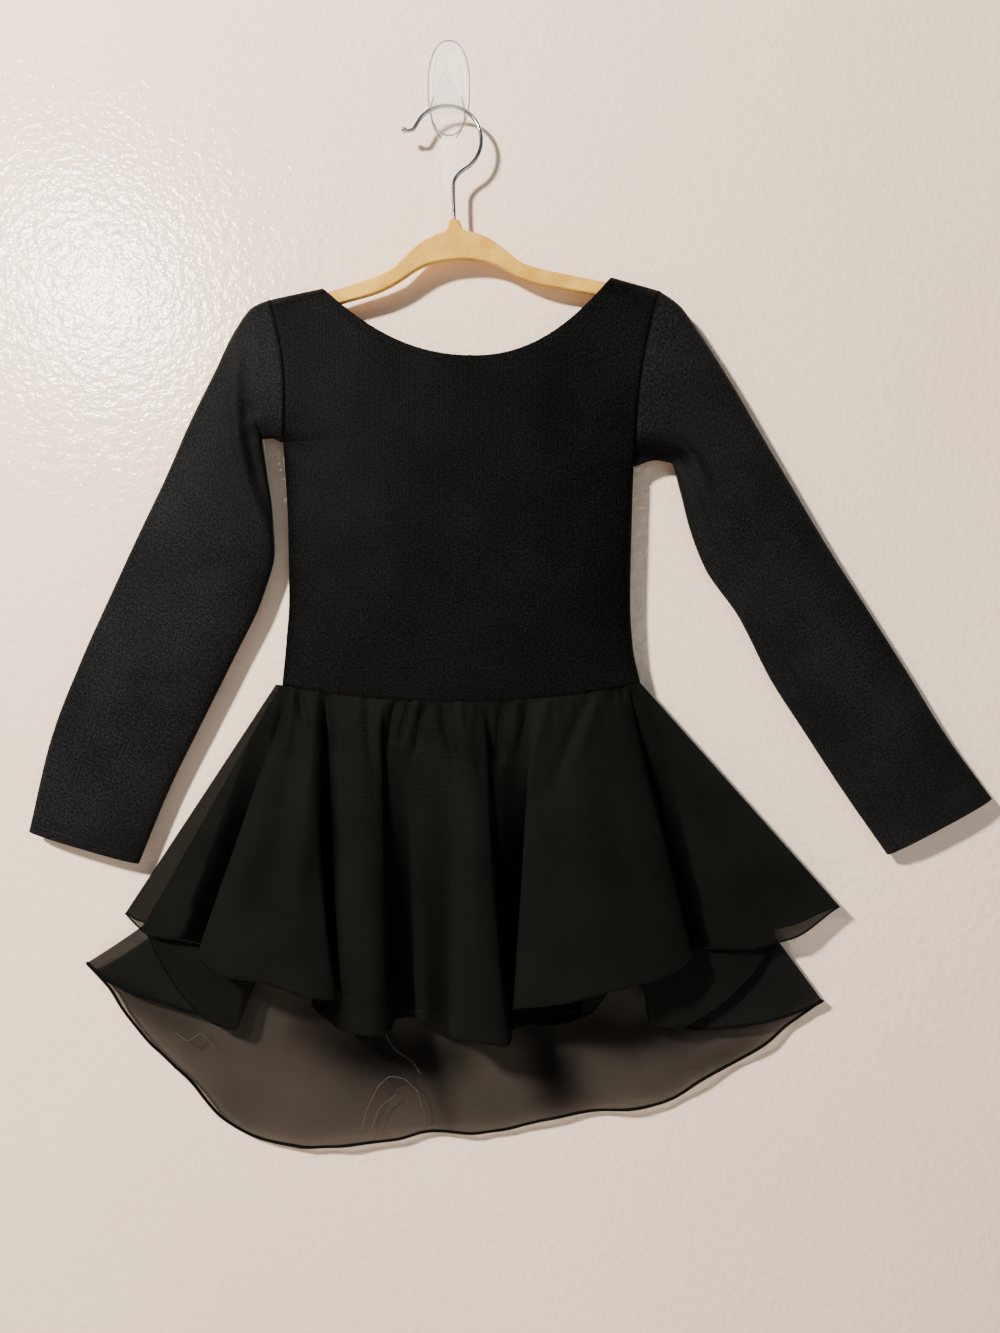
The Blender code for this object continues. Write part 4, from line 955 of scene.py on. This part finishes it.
def make_sleeve(name, table, half, creases, jersey, thread, seam):
    stations = runs(SLEEVE_STATIONS)
    share = (1 - np.cos(np.linspace(0, math.pi, SLEEVE_ACROSS))) / 2
    there, back = share[:-1], share[:0:-1]
    *fore, run, dark = sleeve_surface(table, half, creases, True, stations, there, seam, ARMPIT_PAINTED_SHADE[name])
    *aft, _, back_dark = sleeve_surface(table, half, creases, False, stations, back)
    points = np.concatenate([place(*fore), place(*aft)], axis=1)
    around = np.concatenate([there, 2 - back]) * SLEEVE_HALF_GIRTH
    uv = np.stack(np.broadcast_arrays(around[None, :], run[:, None] * MM), axis=-1)
    cloth = sheet_piece(name + "_cloth", [points], [uv], jersey, closed=True, wall=JERSEY_WALL,
                        seams_and_painted_shades=[np.concatenate([dark, back_dark], axis=1)])
    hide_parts(name)
    if seam:
        nearest = [int(np.argmin(np.abs(there - at))) for at in read(UNDERARM_SEAM, 1, stations)]
        line = np.array([points[i, j] for i, j in enumerate(nearest)])[24:-4]
        tube_mesh(name + "_underarm_seam", respaced(line, 1 * MM), SEAM_RADIUS * MM, 6, thread)
    for number, from_edge in enumerate(CUFF_STITCHES, 1):
        line = points[int(np.argmin(np.abs((run[-1] - run) - from_edge)))]
        outward = line - line.mean(axis=0)
        outward[:, 1] *= 6
        outward /= np.linalg.norm(outward, axis=1)[:, None]
        line, outward = (np.concatenate([a, a[:1]]) for a in (line, outward))
        line = line + outward * JERSEY_WALL / 2 * MM
        stitch_row(f"{name}_cuff_stitches_{number}", line, outward, thread)


# Brief

def brief_panel(front):
    """Points of half of the brief, from the waist seam down to the crotch seam."""
    side = 1 if front else -1
    heights = column(BRIEF_ROWS, 0)[::-1]
    turns = np.sin(np.linspace(-math.pi / 2, math.pi / 2, 61))
    grid, flat = [], []
    for z in np.linspace(heights[-1], heights[0], 60):
        half_width, middle, fore, aft, closing = (read(BRIEF_ROWS[::-1], i, z) for i in range(1, 6))
        fade = max(0.0, 1 - (heights[-1] - z) / 60.0)
        x = BRIEF_X + half_width * turns
        stand_off = (fore if front else aft) * oval(turns * closing)
        stand_off = stand_off + 0.35 * drift(x, z, 18.0, 5.0) * oval(turns)
        level = z + (waist_height(x) - waist_height(10.0)) * fade
        closes = np.clip((z - heights[0]) / 4.0, 0, 1) ** 0.5
        grid.append(place(x, middle + side * stand_off * closes, level))
        flat.append(np.stack([x, level], axis=-1) * MM)
    return np.array(grid), np.array(flat)


def make_brief(jersey):
    for name, front in (("brief_front", True), ("brief_back", False)):
        points, uv = brief_panel(front)
        cloth = sheet_piece(name + "_cloth", [points], [uv], jersey, wall=JERSEY_WALL)
        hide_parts(name)
        for side, index in (("left", 0), ("right", -1)):
            leg = respaced(points[20:, index], 2 * MM)
            edge = tube_mesh(f"{name}_leg_{side}", leg, LEG_RADIUS * MM, 8, jersey)


# Skirts

def waist_height(x):
    return read(WAIST_SAG, 1, np.clip(x, WAIST_SAG[0][0], WAIST_SAG[-1][0]))


def painted_valley_shade(x, depth):
    """Painted shade of a skirt: how far each point lies back between folds, 0 on a fold, 1 deep in a valley,
    where the colour is painted black.
    """
    seams_and_painted_shades = []
    for across, out in zip(x, depth):
        near = np.abs(across[:, None] - across[None, :]) < VALLEY_SHADE_REACH
        before = across[None, :] < across[:, None]
        left = np.where(near & before, out[None, :], 0.0).max(axis=1)
        right = np.where(near & ~before, out[None, :], 0.0).max(axis=1)
        rise = 0.75 * np.maximum(left, right) + 0.25 * np.minimum(left, right) - out
        seams_and_painted_shades.append(np.clip((rise - 3.5) / 9.5, 0, 1))
    return np.array(seams_and_painted_shades)


def skirt_sheet(table, stand_off, inset, growth, wavy, phase, tucks):
    """Points of one skirt sheet, from just above the waist seam to the hem, its flat pattern and its painted
    shade between folds.
    """
    hem = np.array([row[:4] for row in table])
    keys = lengths_along(hem[:, 1:])
    at = np.concatenate([np.linspace(a, b, 9, endpoint=False) for a, b in zip(keys, keys[1:])] + [keys[-1:]])
    waist_x, hem_x, hem_z, hem_depth = (smooth(keys, hem[:, i], at)[None, :] for i in range(4))
    flare = smooth(keys, [row[4] if len(row) > 4 else 1.0 for row in table], at)[None, :]
    at = at[None, :]
    down = runs(SKIRT_STEPS)[:, None]
    length = SKIRT_LENGTH * down
    depth = HANG_DEPTH + stand_off * oval((waist_x - SKIRT_X) / (SKIRT_HALF_WIDTH - inset))
    grow = 1 - (1 - down) ** growth if growth > 0 else down ** -growth
    x = waist_x + (hem_x - waist_x) * down ** flare
    z = waist_height(waist_x) + 0.4 + (hem_z - waist_height(waist_x) - 0.4) * down
    depth = depth + (hem_depth - depth) * grow
    edges = np.clip(np.minimum(at - at[0, 0], at[0, -1] - at) / 12, 0, 1)
    uneven = 2.2 * np.sin(waist_x / 17 + phase)
    gathers = (0.5 + 0.5 * np.sin(waist_x * 2 * math.pi / GATHER_PITCH + uneven)) ** 2
    clusters = 0.45 + 0.55 * np.maximum(0, drift(waist_x, 0 * waist_x, 13.0, phase))
    gathers = gathers * clusters * np.exp(-length / 34) * np.clip(length / 3, 0.5, 1)
    depth = depth + math.copysign(1, stand_off) * wavy["gather"] * gathers * edges
    depth = depth + creased(x, z, tucks) * np.clip(length / 2, 0.35, 1)
    hanging = np.clip(length / 60, 0, 1)
    soft = drift(x, z * 0.45, 15.0, phase) * hanging
    fine = drift(x, z * 0.6, 6.5, phase + 2) * hanging
    flip = np.sin(at / 6.2 + 1.8 * np.sin(at / 21 + phase)) * np.exp(-(SKIRT_LENGTH - length) / 12)
    depth = depth + (wavy["soft"] * soft + wavy["fine"] * fine + wavy["flip"] * flip) * edges
    z = z + wavy["flip"] * 0.5 * np.sin(at / 9.0 + phase) * down ** 8 * edges
    uv = np.stack(np.broadcast_arrays(at * (0.45 + 0.55 * down), length), axis=-1) * MM
    return place(x, depth, z), uv, painted_valley_shade(x, depth)


SKIRTS = {
    "skirt_outer_front": {
        "table": OUTER_FRONT, "stand_off": 11.0, "inset": 0.0, "growth": 1.8, "phase": 0.3, "tucks": TUCKS,
        "wavy": {"gather": 0.9, "soft": 0.55, "fine": 0.18, "flip": 0.7}, "hem": 0.7, "fray": 4.0,
        "flat": (0.98, 0.26), "area": 0.160,
    },
    "skirt_under_front": {
        "table": UNDER_FRONT, "stand_off": 9.0, "inset": LAYER_INSET, "growth": -1.1, "phase": 1.7, "tucks": [],
        "wavy": {"gather": -0.5, "soft": 0.4, "fine": 0.12, "flip": 0.5}, "hem": 0.7, "fray": 4.0,
        "flat": (0.74, 0.26), "area": 0.115,
    },
    "skirt_under_back": {
        "table": UNDER_BACK, "stand_off": -8.9, "inset": LAYER_INSET, "growth": -1.5, "phase": 3.9,
        "tucks": SHEER_CREASES, "sheer": True,
        "wavy": {"gather": -0.4, "soft": 0.35, "fine": 0.12, "flip": 0.4}, "hem": 1.15, "fray": 5.0,
        "flat": (1.02, 0.34), "area": 0.190,
    },
    "skirt_outer_back": {
        "table": OUTER_BACK, "stand_off": -10.4, "inset": 0.0, "growth": 1.3, "phase": 5.2, "tucks": [],
        "wavy": {"gather": 0.6, "soft": 0.3, "fine": 0.1, "flip": 0.3}, "hem": 0.7, "fray": 8.0,
        "flat": (0.56, 0.24), "area": 0.088,
    },
}
SHAPE_KEYS = ("table", "stand_off", "inset", "growth", "wavy", "phase", "tucks")


def crease_glints(name, points, material):
    """Painted highlights: fine pale lines along sharp creases of a sheet whose grid of points is given."""
    flat = points.reshape(-1, 3)
    made = []
    for number, line in enumerate(GLINTS, 1):
        path = respaced(place(column(line, 0), 0.0, column(line, 1)), 2 * MM)
        for spot in path:
            near = flat[np.argmin(np.hypot(flat[:, 0] - spot[0], flat[:, 2] - spot[2]))]
            spot[1] = near[1] - 0.3 * MM
        made.append(tube_mesh(f"{name}_{number}", respaced(path, 1 * MM), GLINT_RADIUS * MM, 5, material))
    return made


def make_skirts(chiffon, sheer, thread):
    for name, facts in SKIRTS.items():
        points, uv, seam_and_painted_shade = skirt_sheet(*(facts[key] for key in SHAPE_KEYS))
        is_sheer = facts.get("sheer", False)
        if is_sheer:
            # The sheer sheet's painted shade is only the painted shadows of the folds in front
            seam_and_painted_shade = np.clip(creased(points[..., 0] / MM, points[..., 2] / MM, SHEER_SHADES), 0, 1)
        cloth = sheet_piece(name + "_cloth", [points], [uv], sheer if is_sheer else chiffon, seams_and_painted_shades=[seam_and_painted_shade])
        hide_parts(name)
        seed = len(name) + round(facts["phase"])
        trims = [merrowed_edge(name + "_hem", points[-1], thread, facts["hem"]),
                 frayed_threads(name + "_frays", points[-1], thread, facts["fray"], seed)]
        if is_sheer:
            # A thread-like material for the painted highlights along the creases
            pale = thread_material("painted_crease_highlight", (0.030, 0.028, 0.026), (0.085, 0.081, 0.074))
            trims += crease_glints(name + "_glint", points, pale)


# Hanger and wall hook

def outline_piece(name, points, material):
    """The hanger's flat outline in the x-z plane, extruded, with rounded edges."""
    curve = bpy.data.curves.new(name, "CURVE")
    curve.dimensions = "2D"
    curve.fill_mode = "BOTH"
    curve.extrude = (HANGER_THICK / 2 - HANGER_EDGE) * MM
    curve.bevel_depth = HANGER_EDGE * MM
    curve.offset = -HANGER_EDGE * MM
    curve.bevel_resolution = 4
    spline = curve.splines.new("POLY")
    spline.points.add(len(points) - 1)
    for point, (x, z) in zip(spline.points, points):
        point.co = (x * MM, z * MM, 0, 1)
    spline.use_cyclic_u = True
    spline.use_smooth = True
    curve.materials.append(material)
    piece = bpy.data.objects.new(name, curve)
    bpy.context.scene.collection.objects.link(piece)
    piece.rotation_euler = (math.pi / 2, 0, 0)
    piece.location = (0, -HANG_DEPTH * MM, 0)
    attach(piece, "root")
    return piece


def hanger_outline():
    steps = runs(HANGER_STEPS)
    top, bottom = (list(zip(steps, read(HANGER_ARM, i, steps))) for i in (1, 2))
    left = [(-x, z) for x, z in bottom[1:]] + [(-x, z) for x, z in top[:0:-1]]
    x, z = np.array(top + bottom[::-1] + left).T
    cos, sin = math.cos(HANGER_TILT), math.sin(HANGER_TILT)
    return list(zip(HANGER_FOOT[0] + x * cos - z * sin, HANGER_FOOT[1] + x * sin + z * cos))


def hook_path():
    """The wire's line: up the stem, round the arc and out along the lip."""
    middle_x, middle_z = HOOK_ARC_MIDDLE
    arc = [(middle_x + HOOK_ARC_RADIUS * math.cos(angle), middle_z + HOOK_ARC_RADIUS * math.sin(angle))
           for angle in np.radians(np.linspace(-62, 152, 24))]
    points = np.array(HOOK_STEM + arc + HOOK_LIP)
    keys = lengths_along(points)
    x, z = (smooth(keys, points[:, i], np.linspace(0, keys[-1], 260)) for i in (0, 1))
    return place(x, np.full(len(x), HANG_DEPTH), z)


def make_hanger(flock, chrome):
    body = outline_piece("hanger_body_flocked", hanger_outline(), flock)
    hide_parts("hanger_body")
    path = hook_path()
    to_end = (lengths_along(path)[-1] - lengths_along(path))[:, None] / MM
    ball = np.sqrt(np.clip(1 - ((to_end - BALL_MIDDLE) / BALL_HALF) ** 2, 0.02, 1)) * BALL_RADIUS
    radii = np.where(to_end < BALL_NECK, ball * MM, WIRE_RADIUS * MM)
    wire = tube_mesh("hanger_hook_wire", path, radii, 16, chrome)
    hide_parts("hanger_hook")


def rim_line(name, x, depth, z, radius, material):
    line = tube_mesh(name, respaced(place(x, depth, z), 0.6 * MM), radius * MM, 8, material)
    line.visible_shadow = False


def make_rims():
    """Painted lines along the rounded edges of the plate, the lobe and the tongue: dark painted refraction
    lines and pale painted highlights.
    """
    looks = {
        "painted_dark_line": rim_material("clear_rim_painted_dark_line", 0.75, (0.10, 0.102, 0.104), (0.20, 0.202, 0.204)),
        "painted_highlight": rim_material("clear_rim_painted_highlight", 0.9, (0.86, 0.84, 0.82), (0.95, 0.93, 0.91)),
    }
    for name, half, depth, span, radius, look in PLATE_RIMS:
        angles = np.radians(np.linspace(*span, 150))
        x, z = (reach * np.sign(wave) * np.abs(wave) ** (2 / RIM_ROUNDNESS)
                for reach, wave in zip(half, (np.cos(angles), np.sin(angles))))
        rim_line(name, x, depth, z, radius, looks[look])
    for name, span, radius, look in TONGUE_RIMS:
        z = np.linspace(*span, 60)
        half, depth = (read(ARM_EDGE, i, z) for i in (1, 2))
        for word, side in (("left", -1), ("right", 1)):
            rim_line(f"{name}_{word}", side * half, depth, z, radius, looks[look])


def finish_wall_hook():
    """The clear hook and its strip keep their solids, with clear plastic and smooth shading."""
    for node, material in (("wall_hook", clear_material()), ("adhesive_strip", strip_material())):
        piece = bpy.data.objects[node]
        for place_in in piece.material_slots:
            place_in.material = material
        piece.visible_shadow = False
        soft = piece.modifiers.new("soft_edges", "BEVEL")
        soft.width = 0.4 * MM
        soft.segments = 3
        soft.limit_method = "ANGLE"
        soft.harden_normals = True
    make_rims()


# Stage, lights and camera

def add_plane(name, size, material, **how):
    bpy.ops.mesh.primitive_plane_add(size=size, **how)
    plane = bpy.context.object
    plane.name = name
    plane.data.materials.append(material)
    return plane


def make_stage():
    wall = stage_material("pale_wall", (0.775, 0.60, 0.455), (0.84, 0.66, 0.51), one_sided=True)
    floor = stage_material("pale_floor", (0.72, 0.66, 0.60), (0.78, 0.72, 0.66))
    back = add_plane("stage_wall", 4, wall, location=(0, 0.0006, -0.4), rotation=(math.pi / 2, 0, 0))
    back.visible_shadow = False
    ground = add_plane("stage_floor", 9, floor, location=(0, 0, -1.7))


def make_lights():
    for name, place_m, size, watts, colour, target, not_seen in LIGHTS:
        light = bpy.data.lights.new(name, "AREA")
        light.shape = "DISK"
        light.size = size
        light.energy = watts
        light.color = colour
        lamp = bpy.data.objects.new(name, light)
        bpy.context.scene.collection.objects.link(lamp)
        lamp.location = place_m
        lamp.rotation_euler = (Vector(target) - Vector(place_m)).to_track_quat("-Z", "Y").to_euler()
        if not_seen:
            setattr(lamp, not_seen, False)
    world = bpy.data.worlds.new("pale_world")
    world.use_nodes = True
    world.node_tree.nodes["Background"].inputs["Color"].default_value = (0.64, 0.83, 1.0, 1)
    world.node_tree.nodes["Background"].inputs["Strength"].default_value = 0.10
    bpy.context.scene.world = world


def make_camera():
    camera = bpy.data.cameras.new("photo_camera")
    camera.lens = CAMERA_LENS_MM
    camera.sensor_width = CAMERA_SENSOR_MM
    eye = bpy.data.objects.new("photo_camera", camera)
    bpy.context.scene.collection.objects.link(eye)
    eye.location = CAMERA_PLACE
    eye.rotation_euler = (math.pi / 2, 0, 0)
    bpy.context.scene.camera = eye


def main():
    jersey = jersey_material("black_jersey", (0.0001, 0.0001, 0.0001), (0.0054, 0.0055, 0.0054))
    # The sleeves are painted paler than the body: a painted sheen for the light that they catch
    sleeve_jersey_painted_sheen = jersey_material("black_jersey_sleeves_painted_sheen", (0.0022, 0.0022, 0.0022), (0.0128, 0.0129, 0.0126))
    chiffon = chiffon_material("black_chiffon", 0.90, (0.0013, 0.0014, 0.0011), (0.0074, 0.0080, 0.0061))
    sheer = chiffon_material("sheer_black_chiffon", 0.820, (0.0022, 0.0024, 0.0021), (0.0088, 0.0094, 0.0084),
                             shaded=True)
    thread = thread_material("black_thread", (0.0012, 0.0012, 0.0012), (0.0050, 0.0050, 0.0048))
    make_bodice(jersey, thread)
    make_sleeve("sleeve_left", SLEEVE_LEFT, LEFT, SLEEVE_LEFT_CREASES, sleeve_jersey_painted_sheen, thread, False)
    make_sleeve("sleeve_right", SLEEVE_RIGHT, RIGHT, SLEEVE_RIGHT_CREASES, sleeve_jersey_painted_sheen, thread, True)
    make_brief(jersey)
    make_skirts(chiffon, sheer, thread)
    make_hanger(flock_material(), chrome_material())
    finish_wall_hook()
    make_stage()
    make_lights()
    make_camera()


main()
